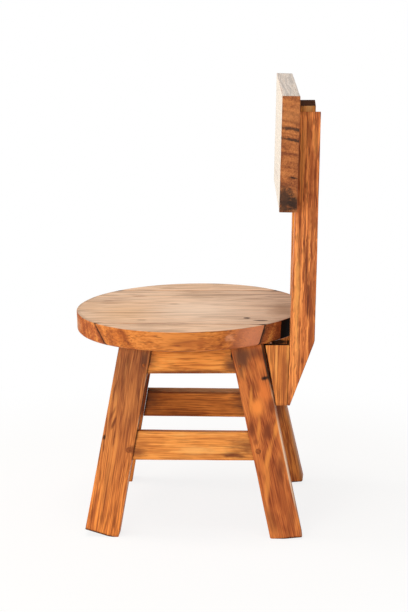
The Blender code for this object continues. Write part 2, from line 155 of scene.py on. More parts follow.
def mixColour(tree, share, first, second, blend="MIX"):
    node = addNode(tree, "ShaderNodeMix", {"Factor": share}, data_type="RGBA", blend_type=blend)
    for key, value in (("A", first), ("B", second)):
        socket = next(s for s in node.inputs if s.name == key and s.type == "RGBA")
        feed(tree, socket, value if isinstance(value, bpy.types.NodeSocket) else (*value, 1.0))
    return next(s for s in node.outputs if s.type == "RGBA")


def noiseAt(tree, vector, stretch, detail=2.0, rough=0.5, twist=0.0):
    place = vectorOp(tree, "MULTIPLY", vector, stretch)
    sizes = {"Vector": place, "Scale": 1.0, "Detail": detail, "Roughness": rough, "Distortion": twist}
    return addNode(tree, "ShaderNodeTexNoise", sizes, noise_dimensions="3D").outputs


# oiled hardwood: growth bands round a pith, blotches, streaks, fibres and pores, all in the piece's own grain space
def oiledWood(name, grain, look, stains=()):
    material = bpy.data.materials.new(name)
    material.use_nodes = True
    tree = material.node_tree
    shader = tree.nodes["Principled BSDF"].inputs
    coords = addNode(tree, "ShaderNodeTexCoord").outputs
    times, plus, minus, most = (partial(mathOp, tree, kind) for kind in ("MULTIPLY", "ADD", "SUBTRACT", "MAXIMUM"))
    stretched, moved, back = (partial(vectorOp, tree, kind) for kind in ("MULTIPLY", "ADD", "SUBTRACT"))
    ranged, mixed, grown = partial(remap, tree), partial(mixColour, tree), partial(noiseAt, tree)

    def grainSpace(matrix, size=(1, 1, 1)):
        laid = {"Location": matrix.to_translation(), "Rotation": matrix.to_euler(), "Scale": size}
        laid["Vector"] = coords["Object"]
        return addNode(tree, "ShaderNodeMapping", laid, vector_type="TEXTURE").outputs["Vector"]

    straight = grainSpace(grain)
    place = moved(straight, look["shift"])
    sway = back(grown(place, look["swaySize"])["Color"], (0.5, 0.5, 0.5))
    bent = moved(place, stretched(sway, (look["sway"], look["sway"], 0)))
    flat = back(bent, moved(look["shift"], (*look["pith"], 0)))
    reach = vectorOp(tree, "LENGTH", stretched(flat, (1, 1, 0)))
    ringed = {"W": times(reach, look["bands"]), "Scale": 1.0, "Detail": 3.0}
    rings = addNode(tree, "ShaderNodeTexNoise", ringed, noise_dimensions="1D").outputs["Fac"]

    bands = ranged(rings, 0.25, 0.75)
    blotch = ranged(grown(place, look["blotchSize"], 3.0, 0.55, 0.6)["Fac"], 0.25, 0.75)
    streak = ranged(grown(bent, look["streakSize"], 2.0, 0.6)["Fac"], 0.35, 0.65)
    fibre = ranged(grown(bent, look["fibreSize"])["Fac"], 0.25, 0.75)
    pores = ranged(grown(bent, look["poreSize"], 1.0)["Fac"], 0.57, 0.68)
    facing = vectorOp(tree, "DOT_PRODUCT", coords["Normal"], grain.to_3x3() @ Vector((0, 0, 1)))
    ending = ranged(mathOp(tree, "ABSOLUTE", facing), 0.55, 0.98, smooth=True)

    figure = times(bands, look["mix"][0])
    for part, share in zip((blotch, streak, fibre), look["mix"][1:]):
        figure = plus(figure, times(part, share))
    calm = times(ending, -look["endCalm"])  # fibres cut across show less
    figure = plus(figure, times(minus(figure, 0.5), calm))
    ramp = addNode(tree, "ShaderNodeValToRGB", {"Fac": figure})
    stops = ramp.color_ramp.elements
    stops[0].position, stops[0].color = look["stops"][0], (*look["dark"], 1)
    stops[1].position, stops[1].color = look["stops"][2], (*look["pale"], 1)
    stops.new(look["stops"][1]).color = (*look["mid"], 1)
    colour = mixed(times(pores, look["pores"]), ramp.outputs["Color"], look["pore"])
    colour = mixed(times(ending, look["endDark"]), colour, look["endTone"], "MULTIPLY")  # end grain drinks more oil; on the wedges the near-black end tone is also painted shade on their tops
    dull = times(ending, look["endDull"])

    # faces turned one way go pale and their cracks show dark: on the tops this is the dryness of faces sat on, leant on
    # and wiped; on the board's front it is a painted highlight
    normal = addNode(tree, "ShaderNodeSeparateXYZ", {0: coords["Normal"]}).outputs
    for axis, sign, tone, amount, cracked in look["dustyAndLitFaces"]:
        paleFacing = ranged(times(normal[axis], sign), 0.80, 0.97, smooth=True)
        colour = mixed(times(paleFacing, amount), colour, tone)
        dull = most(dull, times(paleFacing, look["dryDull"]))
        for stretch, low, high, share in look["dashes"]:
            dash = ranged(grown(bent, stretch, 2.0, 0.6)["Fac"], low, high, 0.0, share * cracked)
            colour = mixed(times(dash, paleFacing), colour, look["dashTone"])

    # slow change of tone from the low end of the piece to its high end
    if "fade" in look:
        low, high, lowTone, highTone = look["fade"]
        height = addNode(tree, "ShaderNodeSeparateXYZ", {0: straight}).outputs["Z"]
        height = plus(height, times(minus(streak, 0.5), 0.04))
        colour = mixed(1.0, colour, mixed(ranged(height, low, high), lowTone, highTone), "MULTIPLY")

    # edge tone on the eased edges: grime and old oil where it is dark, partly painted shade along the seat rim, and a
    # painted highlight where it is pale, as on the rear legs' rear edges; a weight above one makes it unbroken
    wearAndLight = addNode(tree, "ShaderNodeAttribute", attribute_name="wearAndLight").outputs["Fac"]
    rub = times(wearAndLight, ranged(grown(place, look["rubSize"])["Fac"], 0.4, 0.65))
    rub = most(rub, minus(wearAndLight, 1.0))
    colour = mixed(times(rub, look["rub"]), colour, look["edgeGrimeAndLight"])

    # knots, cracks, stains and stronger figure at their places
    ragged = minus(grown(place, look["raggedSize"], 3.0, 0.6)["Fac"], 0.5)
    steep = ranged(mathOp(tree, "ABSOLUTE", normal["Z"]), 0.5, 0.9, 1.0, 0.0)
    for spot in stains:
        axes = grain.to_3x3() @ spot["turn"] if spot["axes"] is None else spot["axes"]
        far = vectorOp(tree, "LENGTH", grainSpace(Matrix.Translation(spot["at"]) @ axes.to_4x4(), spot["size"]))
        far = plus(far, times(ragged, spot["ragged"]))
        share = ranged(far, 1.0, spot["core"], 0.0, spot["amount"], smooth=True)
        if spot["upright"]:  # kept off the level faces
            share = times(share, steep)
        colour = mixed(share, colour, spot["tone"])
        if spot["matte"]:
            dull = most(dull, share)
    feed(tree, shader["Base Color"], mixed(look["haze"], colour, (1, 1, 1)))

    polish = ranged(plus(times(fibre, 0.5), times(pores, 0.5)), 0.1, 0.8, *look["rough"])
    feed(tree, shader["Roughness"], plus(polish, times(minus(0.95, polish), dull)))
    shader["IOR"].default_value = 1.48
    shader["Specular IOR Level"].default_value = look["gloss"]

    relief = minus(times(fibre, 0.35), times(pores, 0.65))
    relief = plus(relief, times(bands, 0.25))
    bump = addNode(tree, "ShaderNodeBump", {"Strength": look["bump"], "Distance": 0.0004, "Height": relief})
    feed(tree, shader["Normal"], bump.outputs["Normal"])
    return material


plainWood = {
    "dark": (0.270, 0.066, 0.016),
    "mid": (0.500, 0.146, 0.031),
    "pale": (0.740, 0.258, 0.055),
    "stops": (0.34, 0.50, 0.66),
    "pore": (0.140, 0.034, 0.011),
    "poreSize": (440, 440, 32),
    "pores": 0.55,
    "dustyAndLitFaces": (),  # axis, sign, tone, amount, share of the cracks; pale dust and dryness on tops, painted highlight on a face turned to the light
    "dashes": (),  # stretch, low, high, amount
    "dashTone": (0.200, 0.110, 0.060),
    "dryDull": 0.7,
    "endTone": (0.55, 0.50, 0.48),
    "endDark": 0.6,
    "endCalm": 0.7,
    "endDull": 0.8,
    "edgeGrimeAndLight": (0.120, 0.034, 0.013),  # grime and old oil on the edges; a pale tone here is a painted highlight
    "rub": 0.55,
    "shift": (0, 0, 0),
    "pith": (0.03, 0.05),
    "bands": 200.0,
    "blotchSize": (44, 44, 10),
    "streakSize": (520, 520, 7),
    "fibreSize": (900, 900, 14),
    "rubSize": (90, 90, 30),
    "raggedSize": (260, 260, 60),
    "swaySize": (16, 16, 5),
    "sway": 0.010,
    "mix": (0.10, 0.40, 0.26, 0.24),
    "rough": (0.36, 0.55),
    "gloss": 0.03,
    "haze": 0.005,
    "bump": 0.22,
}


# a knot, crack, stain or patch of stronger figure, turned in the grain or laid along axes of its own
def stain(at, size, tone, amount=0.9, core=0.3, ragged=1.2, turn=("X", 0), axes=None, matte=False, upright=False):
    return {
        "at": at, "size": size, "tone": tone, "amount": amount, "core": core, "ragged": ragged,
        "turn": Matrix.Rotation(math.radians(turn[1]), 3, turn[0]), "axes": axes, "matte": matte, "upright": upright,
    }


# the same with its place and half sizes in millimetres
def mark(at, size, *look, **more):
    return stain([number / 1000 for number in at], [number / 1000 for number in size], *look, **more)


# figure of the near rear leg, with a softer rim
def legMark(at, size, tone, amount, core=0.2, ragged=0.6, **more):
    return mark(at, size, tone, amount, core, ragged, **more)


# painted contact shade, dark and matte, where two pieces meet and where a foot stands on the floor
def contactShade(at, size, axes, amount=0.75):
    return stain(at, size, (0.030, 0.012, 0.007), amount, 0.35, 0.8, axes=axes, matte=True)


# a cut across a piece: where the plane meets the line that runs along the piece at (a, b)
def planeCut(place, point, normal):
    local = place.inverted()
    spot = local @ Vector(point)
    facing = local.to_3x3() @ Vector(normal)

    def cut(a, b):
        return spot.z - (facing.x * (a - spot.x) + facing.y * (b - spot.y)) / facing.z

    return cut


# rounded rectangle, as shares of the width and height plus offsets, with outward directions
def sectionColumns(radius, steps, flatsA, flatsB):
    corners = ((0, 0, 180), (1, 0, 270), (1, 1, 0), (0, 1, 90))
    columns = []
    for index, (fa, fb, start) in enumerate(corners):
        for k in range(steps + 1):
            angle = math.radians(start + 90 * k / steps)
            na, nb = math.cos(angle), math.sin(angle)
            offA, offB = radius * (na + 1 - 2 * fa), radius * (nb + 1 - 2 * fb)
            columns.append((fa, offA, fb, offB, na, nb, math.sin(math.pi * k / steps)))
        nextA, nextB = corners[(index + 1) % 4][:2]
        flats = flatsA if nextA != fa else flatsB
        last = columns[-1]
        goA, goB = radius * (na + 1 - 2 * nextA), radius * (nb + 1 - 2 * nextB)
        for k in range(1, flats):
            t = k / flats
            columns.append((
                fa + (nextA - fa) * t, last[1] + (goA - last[1]) * t,
                fb + (nextB - fb) * t, last[3] + (goB - last[3]) * t, na, nb, 0.0,
            ))
    return columns


def finishMesh(name, bm, place, wearAndLight):
    bmesh.ops.recalc_face_normals(bm, faces=bm.faces)
    bm.transform(place)
    mesh = bpy.data.meshes.new(name)
    bm.to_mesh(mesh)
    bm.free()
    litAndWornEdge = mesh.attributes.new("wearAndLight", "FLOAT", "POINT")
    litAndWornEdge.data.foreach_set("value", wearAndLight)
    piece = bpy.data.objects.new(name, mesh)
    scene.collection.objects.link(piece)
    return piece


# noise of the sawn faces and of their edges, for each metre along a, b and c
sawing = {"wave": (45, 45, 18), "fine": (130, 130, 70), "fineShare": 0.4, "dent": (9.0, 5.0, 75), "dentFrom": 0.22}


def noiseOn(size, spot, seed):
    return noise.noise(Vector([scale * number for scale, number in zip(size, spot)]) + seed)


# a sawn and hand-planed bar along local Z, with eased edges, small waves and a few dents
def sawnBar(name, place, spanA, spanB, lowCut, highCut, shape):
    columns = sectionColumns(shape["edge"], 4, *shape["flats"])
    ends = shape["endEdge"]
    seed = Vector((shape["seed"] * 3.7, shape["seed"] * 1.3, shape["seed"] * 7.1))
    middleA = (spanA[0] + spanA[1]) / 2
    reachC = shape["length"]
    count = max(6, round(reachC / shape["ring"]))
    angles = [math.radians(30 * k) for k in range(4)]
    rounded = [(ends * (1 - math.cos(angle)), ends * (1 - math.sin(angle))) for angle in angles]
    rings = [("low", *pair) for pair in rounded]
    rings += [("mid", k / count, 0.0) for k in range(1, count)]
    rings += [("high", *pair) for pair in rounded[::-1]]

    def along(ring, low, high):
        kind, value = ring[0], ring[1]
        if kind == "low":
            return low + value
        if kind == "high":
            return high - value
        return low + ends + (high - low - 2 * ends) * value

    def spot(ring, column, shrink=1.0):
        fa, oa, fb, ob, na, nb, corner = column
        inset = ring[2]
        a = spanA[0] + (spanA[1] - spanA[0]) * fa + oa - na * inset
        a = middleA + (a - middleA) * shrink
        c = shape["start"] + reachC * (0.0 if ring[0] == "low" else 1.0 if ring[0] == "high" else ring[1])
        for repeat in range(3):
            lowB, highB = spanB(a, c)
            b = lowB + (highB - lowB) * fb + ob - nb * inset
            b = (lowB + highB) / 2 + (b - (lowB + highB) / 2) * shrink
            c = along(ring, lowCut(a, b), highCut(a, b))
        if shrink == 1.0:
            wave = noiseOn(sawing["wave"], (a, b, c), seed)
            wave += sawing["fineShare"] * noiseOn(sawing["fine"], (a, b, c), seed)
            push = wave * shape["wave"]
            if corner > 0:
                dent = noiseOn(sawing["dent"], (fa, fb, c), seed)
                push -= shape["dent"] * corner * max(0.0, dent - sawing["dentFrom"])
            a += na * push
            b += nb * push
        spread = shape.get("spread", (0.0, 0.0))[a > middleA]
        a = middleA + (a - middleA) * (1 + spread * (c - shape["start"]) / reachC)
        return a, b, c

    bm = bmesh.new()
    wearAndLight = []
    loops = []
    rubSide = shape.get("rubSide", 0)  # 1 or -1 when only the edges on that side take the edge tone, which on the rear legs is a painted highlight
    for ring in rings:
        loops.append([bm.verts.new(spot(ring, column)) for column in columns])
        least = 0.0 if rubSide or ring[0] == "mid" else 0.8
        wearAndLight += [max(column[6] * (column[5] * rubSide >= 0), least) for column in columns]
    for ring, top in ((rings[0], False), (rings[-1], True)):
        cap = []
        for shrink in (0.8, 0.5, 0.2):
            cap.append([bm.verts.new(spot(ring, column, shrink)) for column in columns])
            wearAndLight += [0.0] * len(columns)
        loops = loops + cap if top else cap[::-1] + loops
    for lower, upper in zip(loops, loops[1:]):
        for k in range(len(columns)):
            n = (k + 1) % len(columns)
            bm.faces.new((lower[k], lower[n], upper[n], upper[k]))
    bm.faces.new(loops[0])
    bm.faces.new(loops[-1])
    return finishMesh(name, bm, place, wearAndLight)


def bakeModifiers(piece):
    graph = bpy.context.evaluated_depsgraph_get()
    mesh = bpy.data.meshes.new_from_object(piece.evaluated_get(graph))
    piece.modifiers.clear()
    piece.data = mesh


# cut holes or notches, given as closed meshes in one go
def carve(piece, cutters):
    bm = bmesh.new()
    for cutter in cutters:
        cutter(bm)
    mesh = bpy.data.meshes.new("cutter")
    bm.to_mesh(mesh)
    bm.free()
    tool = bpy.data.objects.new("cutter", mesh)
    scene.collection.objects.link(tool)
    modifier = piece.modifiers.new("carve", "BOOLEAN")
    modifier.operation = "DIFFERENCE"
    modifier.solver = "EXACT"
    modifier.object = tool
    bakeModifiers(piece)
    bpy.data.objects.remove(tool, do_unlink=True)


def hole(middle, axis, radius, length):
    turn = Vector((0, 0, 1)).rotation_difference(axis).to_matrix().to_4x4()

    def cutter(bm):
        made = bmesh.ops.create_cone(bm, cap_ends=True, segments=32, radius1=radius, radius2=radius, depth=length)
        bmesh.ops.transform(bm, matrix=Matrix.Translation(middle) @ turn, verts=made["verts"])

    return cutter


def wedgeCutter(corners):
    def cutter(bm):
        bmesh.ops.convex_hull(bm, input=[bm.verts.new(corner) for corner in corners])

    return cutter


smoothUnder = math.radians(42)


def dress(piece, material, slotName, *nodes):
    mesh = piece.data
    mesh.materials.clear()
    mesh.materials.append(material)
    mesh.shade_smooth()
    mesh.set_sharp_from_angle(angle=smoothUnder)
    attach(piece, "root")
    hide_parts(*nodes)


def boxMiddle(node):
    low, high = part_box(node)
    return (low + high) / 2


# legs
legs = {
    "width": 0.0366,
    "front": {"foot": -0.0766, "rake": math.radians(9.5), "land": 0.009, "rise": math.radians(16.0)},
    "rear": {"foot": 0.0979, "rake": math.radians(12.2), "land": 0.015, "rise": math.radians(6.0)},
    "holes": {"peg": 0.0031, "pin": 0.0021},
    "holeLength": 0.024,
    "holeOut": 0.004,
    "grainTilt": (1.5, -2.0),  # in degrees
    "flare": {"front": (0.0025, -0.0002), "rear": (-0.0002, 0.0)},  # at the foot and at the top
    "slide": {("rear", "left"): (-0.0015, -0.0012)},
    "shape": {"edge": 0.0011, "endEdge": 0.0004, "flats": (5, 7), "ring": 0.0035, "wave": 0.00022, "dent": 0.0012},
    "rearEdge": 0.0021,
    "footEdge": {("rear", "left"): 0.0013, ("rear", "right"): 0.0030},
}
legLooks = {
    ("front", "left"): dict(
        plainWood, dark=(0.230, 0.060, 0.018), mid=(0.440, 0.130, 0.032), pale=(0.660, 0.230, 0.054), pores=0.6,
        mix=(0.06, 0.36, 0.16, 0.42), stops=(0.32, 0.50, 0.68), streakSize=(600, 600, 10),
        fade=(0.02, 0.20, (1.42, 1.36, 1.12), (0.84, 0.92, 1.16)),
    ),
    ("rear", "left"): dict(
        plainWood, dark=(0.215, 0.044, 0.013), mid=(0.460, 0.118, 0.030), pale=(0.680, 0.215, 0.050), pores=0.4,
        mix=(0.10, 0.46, 0.12, 0.32), stops=(0.31, 0.50, 0.69), blotchSize=(60, 60, 16), sway=0.020,
        # the pale edge tone is a painted highlight on the rounded rear edge
        shift=(0.3, 0.1, 0.7), bump=0.14, rub=0.75, edgeGrimeAndLight=(0.700, 0.440, 0.270),
    ),
    ("front", "right"): dict(plainWood, shift=(1.1, 0.4, 0.2), dark=(0.180, 0.042, 0.013), mid=(0.330, 0.090, 0.024)),
    ("rear", "right"): dict(
        plainWood, shift=(0.7, 1.3, 0.5), mid=(0.450, 0.130, 0.034), blotchSize=(50, 50, 14),
        # the pale edge tone is a painted highlight on the rounded rear edge
        rub=0.8, edgeGrimeAndLight=(0.660, 0.390, 0.230),
    ),
}
blackened = (0.016, 0.010, 0.007)
stained = (0.150, 0.034, 0.012)
russet = (0.200, 0.046, 0.014)
flame = (0.820, 0.285, 0.055)
umber = (0.120, 0.044, 0.022)
wornEdgeHighlight = (0.860, 0.600, 0.400)
edgeLine = {"front": (0.0009, 0.0002), "rear": (0.0020, -0.0009)}  # width and inset of the painted highlight and painted shade marks on the rear edge
edgeMarks = {  # their heights, reaches and tones: pale is a painted highlight on the worn rounded arris, black is painted shade in the gap beside the wedge
    ("front", "left"): ((0.182, 0.010, wornEdgeHighlight), (0.133, 0.010, wornEdgeHighlight), (0.068, 0.024, wornEdgeHighlight)),
    ("rear", "left"): ((0.197, 0.042, blackened), (0.082, 0.074, wornEdgeHighlight)),
}
legMarks = {
    ("front", "left"): [
        mark((99.7, -106.8, 112.9), (6, 2.4, 4.8), blackened, 0.9),
        mark((101.2, -95.7, 112), (4, 1.8, 14), stained, 0.8),
        mark((97.6, -96, 129), (4, 2, 12), stained, 0.8, turn=("X", -16)),
        mark((89, -65, 193), (6, 7, 18), stained, 0.5),
        mark((87.6, -60.5, 202), (6, 7.2, 19), umber, 0.85, 0),
        mark((94.9, -70, 155.2), (6, 4, 40), stained, 0.35),
        mark((103.9, -75.7, 99), (6, 4.8, 6.6), stained, 0.75),
        mark((114.1, -95.5, 19), (6, 1.8, 12), stained, 0.5),
        mark((102.2, -107.5, 101), (4, 1.2, 6), stained, 0.7),
        mark((96.2, -97.5, 139), (4, 2.2, 12), stained, 0.6, turn=("X", -16)),
        mark((109, -104.5, 58), (6, 6, 60), stained, 0.45, 0),
        mark((115, -109, 20), (6, 6, 20), stained, 0.35, 0),
        mark((94.5, -77.5, 156), (6, 10, 40), (0.68, 0.235, 0.06), 0.55, 0),
        mark((101, -69, 113), (6, 3.6, 36), stained, 0.6, 0),
    ],
    ("rear", "left"): [
        legMark((92.7, 49.5, 204), (8, 13, 21), umber, 0.9),
        legMark((123.8, 81.8, 21.4), (8, 7, 28), (0.22, 0.056, 0.018), 0.7, 0),
        legMark((94.6, 70.4, 195.9), (8, 6, 16), (0.8, 0.24, 0.05), 0.6, 0),
        legMark((119.5, 98.5, 42), (8, 9.5, 42), (0.36, 0.088, 0.022), 0.7, 0.2),
        legMark((93, 60, 209), (8, 16, 9), umber, 0.6),
        legMark((95, 48, 188), (8, 4, 12), umber, 0.5),
        legMark((93, 72, 207), (8, 8.5, 10), russet, 0.5),
        legMark((99.4, 74, 166), (8, 11, 20), (0.72, 0.19, 0.04), 0.9),
        legMark((98.2, 52, 170), (8, 5, 14), (0.64, 0.185, 0.046), 0.75),
        legMark((99, 61.5, 168), (8, 3.6, 14), russet, 0.6, turn=("X", -16)),
        legMark((101, 60, 158), (8, 3, 20), flame, 0.7, turn=("X", -16)),
        legMark((102.4, 67, 148.5), (8, 12, 16), (0.86, 0.265, 0.052), 0.95, turn=("X", -16)),
        legMark((98.8, 66.8, 170.5), (8, 5, 10), russet, 0.5),
        legMark((103, 83.5, 150), (8, 6, 13), russet, 0.75, turn=("X", -16)),
        legMark((106, 61, 124), (8, 5.2, 14), russet, 0.9, turn=("X", -8)),
        legMark((106.4, 69, 124), (8, 3, 20), flame, 0.6, turn=("X", -16)),
        legMark((107.4, 78.5, 121), (8, 7, 18), russet, 0.9, turn=("X", -25)),
        legMark((106.8, 89, 127), (8, 4, 22), flame, 0.75, turn=("X", -25)),
        legMark((112.5, 79, 90.7), (8, 4.4, 28), flame, 0.7, turn=("X", -25)),
        legMark((116, 93.5, 78), (8, 8, 26), russet, 0.75, turn=("X", -16)),
        legMark((117, 78.5, 62), (8, 4.6, 30), flame, 0.6, turn=("X", -16)),
        legMark((114, 73.5, 80), (8, 5, 18), (0.7, 0.21, 0.046), 0.7),
        legMark((108.6, 65.8, 109.2), (6, 4.4, 5), russet, 0.6),
        legMark((124.3, 87, 19), (8, 4, 22), russet, 0.65),
        legMark((124.9, 106, 23), (8, 6, 18), russet, 0.5),
        legMark((126.3, 115.5, 18), (8, 2.4, 14), flame, 0.7),
        legMark((97.3, 76.2, 181.3), (6, 6.2, 3.4), blackened, 0.97, 0.3, 0.8),
    ],
    ("rear", "right"): [
        # painted highlight: a pale band along the rounded rear edge
        mark((-85, 117.5, 56), (30, 4.2, 80), (0.7, 0.3, 0.11), 0.6),
        # painted shade cast by the wedge and the post
        mark((-78.7, 100, 96), (30, 10, 30), umber, 0.65, 0),
    ],
}
legPlaces = {}
for name in sides:
    for end in ("front", "rear"):
        leg = legs[end]
        lay = Matrix.Rotation(outward[end] * leg["rake"], 4, "X")
        legPlaces[end, name] = framePlaces[name] @ Matrix.Translation((0, leg["foot"], 0)) @ lay


def addLegs():
    seatUnder = seatLow.z - gap
    for (end, name), place in legPlaces.items():
        leg, side, out = legs[end], sides[name], outward[end]
        spanA = sorted((-side * build["frameThick"], 0.0))
        footSlide, topSlide = legs["slide"].get((end, name), (0.0, 0.0))
        level = planeCut(place, (0, 0, 0), (0, 0, 1))
        heel = Matrix.Translation((0, leg["foot"] + out * leg["land"], 0))
        sawn = basePlace @ heel @ Matrix.Rotation(out * leg["rise"], 4, "X")
        slant = planeCut(place, sawn.to_translation(), sawn.to_3x3() @ Vector((0, 0, 1)))
        top = planeCut(place, (0, 0, seatUnder), (0, 0, 1))
        shape = dict(legs["shape"], start=0.0, length=top(0, 0), seed=3 + side + 2 * out)
        if end == "rear":
            shape.update(edge=legs["rearEdge"], endEdge=legs["footEdge"][end, name], rubSide=1)
        footFlare, topFlare = legs["flare"][end]

        def spanB(a, c):
            up = c / shape["length"]
            slide = footSlide + (topSlide - footSlide) * up
            flare = footFlare + (topFlare - footFlare) * up
            return sorted((slide, slide + out * (legs["width"] + flare)))

        piece = sawnBar(
            f"leg_{end}_{name}_wood", place, spanA, spanB,
            lambda a, b: max(level(a, b), slant(a, b)), top, shape,
        )
        axis = framePlaces[name].to_3x3() @ Vector((side, 0, 0))
        carve(piece, [
            hole(boxMiddle(f"{kind}_{end}_{name}") + axis * legs["holeOut"], axis, radius, legs["holeLength"])
            for kind, radius in legs["holes"].items()
        ])
        tiltX, tiltY = legs["grainTilt"]
        tilted = Matrix.Rotation(math.radians(tiltX * side), 4, "X")
        grain = place @ tilted @ Matrix.Rotation(math.radians(tiltY), 4, "Y")
        middle = Vector((-side * build["frameThick"] / 2, out * legs["width"] / 2, 0))
        foot = Vector((middle.x, middle.y, slant(middle.x, middle.y)))

        # painted highlight and painted shade laid along the leg's edges and faces
        def litAndWornEdge(at, size, tone, amount, core):
            return stain(place @ Vector(at), size, tone, amount, core, 0.3, axes=place.to_3x3(), matte=True)

        paintedLightAndStains = [
            # painted contact shade under the seat at the leg's top, and where the foot stands on the floor
            contactShade(place @ (middle + Vector((0, 0, top(0, 0)))), (0.05, 0.05, 0.0034), Matrix.Identity(3)),
            contactShade(place @ foot, (0.05, 0.05, 0.0026), sawn.to_3x3(), 0.9),
        ]
        across, inset = edgeLine[end]
        edge = max(0.0, out * legs["width"]) + topSlide + inset
        for height, reach, tone in edgeMarks.get((end, name), ()):
            paintedLightAndStains.append(litAndWornEdge((0, edge, height), (0.004, across, reach), tone, 0.9, 0.4))
        # painted shade on the near front leg's rear side face
        if (end, name) == ("front", "left"):
            paintedLightAndStains.append(litAndWornEdge((-0.0125, 0.0003, 0.150), (0.0105, 0.0014, 0.052), blackened, 0.8, 0.6))
        material = oiledWood(f"leg_{end}_{name}", grain, legLooks[end, name], legMarks.get((end, name), []) + paintedLightAndStains)
        dress(piece, material, "leg_wood", f"leg_{end}_{name}")


addLegs()
print("legs sawn")


# rails of the side frames and across the chair
rails = {
    "thick": 0.0200,
    "apronHeight": 0.0336,
    "stretcherBottom": 0.0900,
    "stretcherHeight": 0.0303,
    "crossThick": 0.0180,
    "crossStretcherBottom": 0.1290,
    "crossStretcherHeight": 0.0260,
    "trim": {  # fit of the lower edge (front, rear) and of the upper edge, as seen
        "apron_side_left": (0.0016, 0.0002, 0.0),
        "stretcher_side_left": (0.0014, 0.0008, 0.0012),
        "stretcher_side_right": (0.0011, 0.0013, 0.0009),
    },
    "trimRun": 0.06,  # half the length that the trim changes over
    "setBack": {"stretcher_side_right": 0.0060},  # of the inner face
    "boreRadius": 0.0044,
    "boreLength": 0.032,
    "shape": {"edge": 0.0008, "endEdge": 0.0003, "flats": (4, 5), "ring": 0.0035, "wave": 0.00018, "dent": 0.0007},
}
railLooks = {
    "apron_side_left": dict(
        plainWood, dark=(0.450, 0.128, 0.024), mid=(0.830, 0.292, 0.053), pale=(0.880, 0.375, 0.083), pores=0.4,
        shift=(0.2, 0.9, 0.4), sway=0.016, mix=(0.12, 0.34, 0.16, 0.38), stops=(0.26, 0.50, 0.74),
        streakSize=(420, 420, 30), blotchSize=(70, 70, 22),
    ),
    "stretcher_side_left": dict(
        plainWood, dark=(0.500, 0.150, 0.030), mid=(0.850, 0.312, 0.064), pale=(0.930, 0.420, 0.108), pores=0.3,
        shift=(0.6, 0.2, 1.4), mix=(0.08, 0.40, 0.14, 0.38), stops=(0.24, 0.50, 0.76),
        streakSize=(520, 520, 20), blotchSize=(40, 40, 18),
    ),
    "apron_side_right": dict(plainWood, shift=(1.7, 0.2, 0.1)),
    "stretcher_side_right": dict(
        plainWood, dark=(0.260, 0.066, 0.014), mid=(0.580, 0.180, 0.034), pale=(0.780, 0.270, 0.052), pores=0.4,
        shift=(0.5, 1.8, 0.3), mix=(0.12, 0.44, 0.08, 0.36), stops=(0.26, 0.50, 0.74), blotchSize=(40, 40, 18),
        dustyAndLitFaces=(("Z", 1, (0.700, 0.400, 0.190), 0.85, 0.0),),
    ),
    "apron_front": dict(plainWood, shift=(0.8, 0.6, 1.9)),
    "apron_rear": dict(plainWood, shift=(2.2, 0.4, 0.8)),
    "stretcher_front": dict(plainWood, shift=(0.1, 2.4, 1.2)),
    "stretcher_rear": dict(plainWood, shift=(1.4, 1.1, 2.6)),
}
railMarks = {
    "stretcher_side_left": [
        mark((104.5, -70, 96), (10, 8, 15), stained, 0.8, 0.1),
        mark((107.6, 42, 93), (10, 4.8, 28), stained, 0.9, 0.1),
        mark((103, -10, 93), (6, 1.6, 30), stained, 0.4),
        mark((106.5, 54.5, 103), (10, 18, 30), stained, 0.8, 0),
        mark((104, -65, 106), (8, 18, 18), (0.33, 0.09, 0.022), 0.55, 0),
        mark((106.5, 0, 98.5), (8, 7.5, 42), (0.95, 0.47, 0.14), 0.7, 0),
        mark((104.5, 35, 113), (8, 6, 32), (0.5, 0.15, 0.034), 0.55, 0),
    ],
    "apron_side_left": [
        mark((89, -5, 212), (10, 8, 70), (0.4, 0.115, 0.026), 0.6, 0),
        mark((94, -10, 186.8), (30, 4.8, 90), stained, 0.9, 0.1),
        mark((88.5, -56, 197), (10, 18, 15), stained, 0.85, 0),
        mark((91, 41.5, 192.5), (10, 8, 18), stained, 0.7, 0),
        mark((90.5, 42, 198), (10, 24, 17), umber, 0.8, 0),
        mark((89.2, 38.7, 206), (10, 7, 2.2), blackened, 1.0, 0.4, 0.5),
        mark((87.5, -57, 208.5), (10, 13, 10), stained, 0.5, 0),
    ],
    "stretcher_side_right": [
        mark((-85, -66, 109.2), (30, 30, 36), umber, 0.95, 0),
        mark((-80.5, 60, 105.2), (30, 30, 28), umber, 0.9, 0),
    ],
}


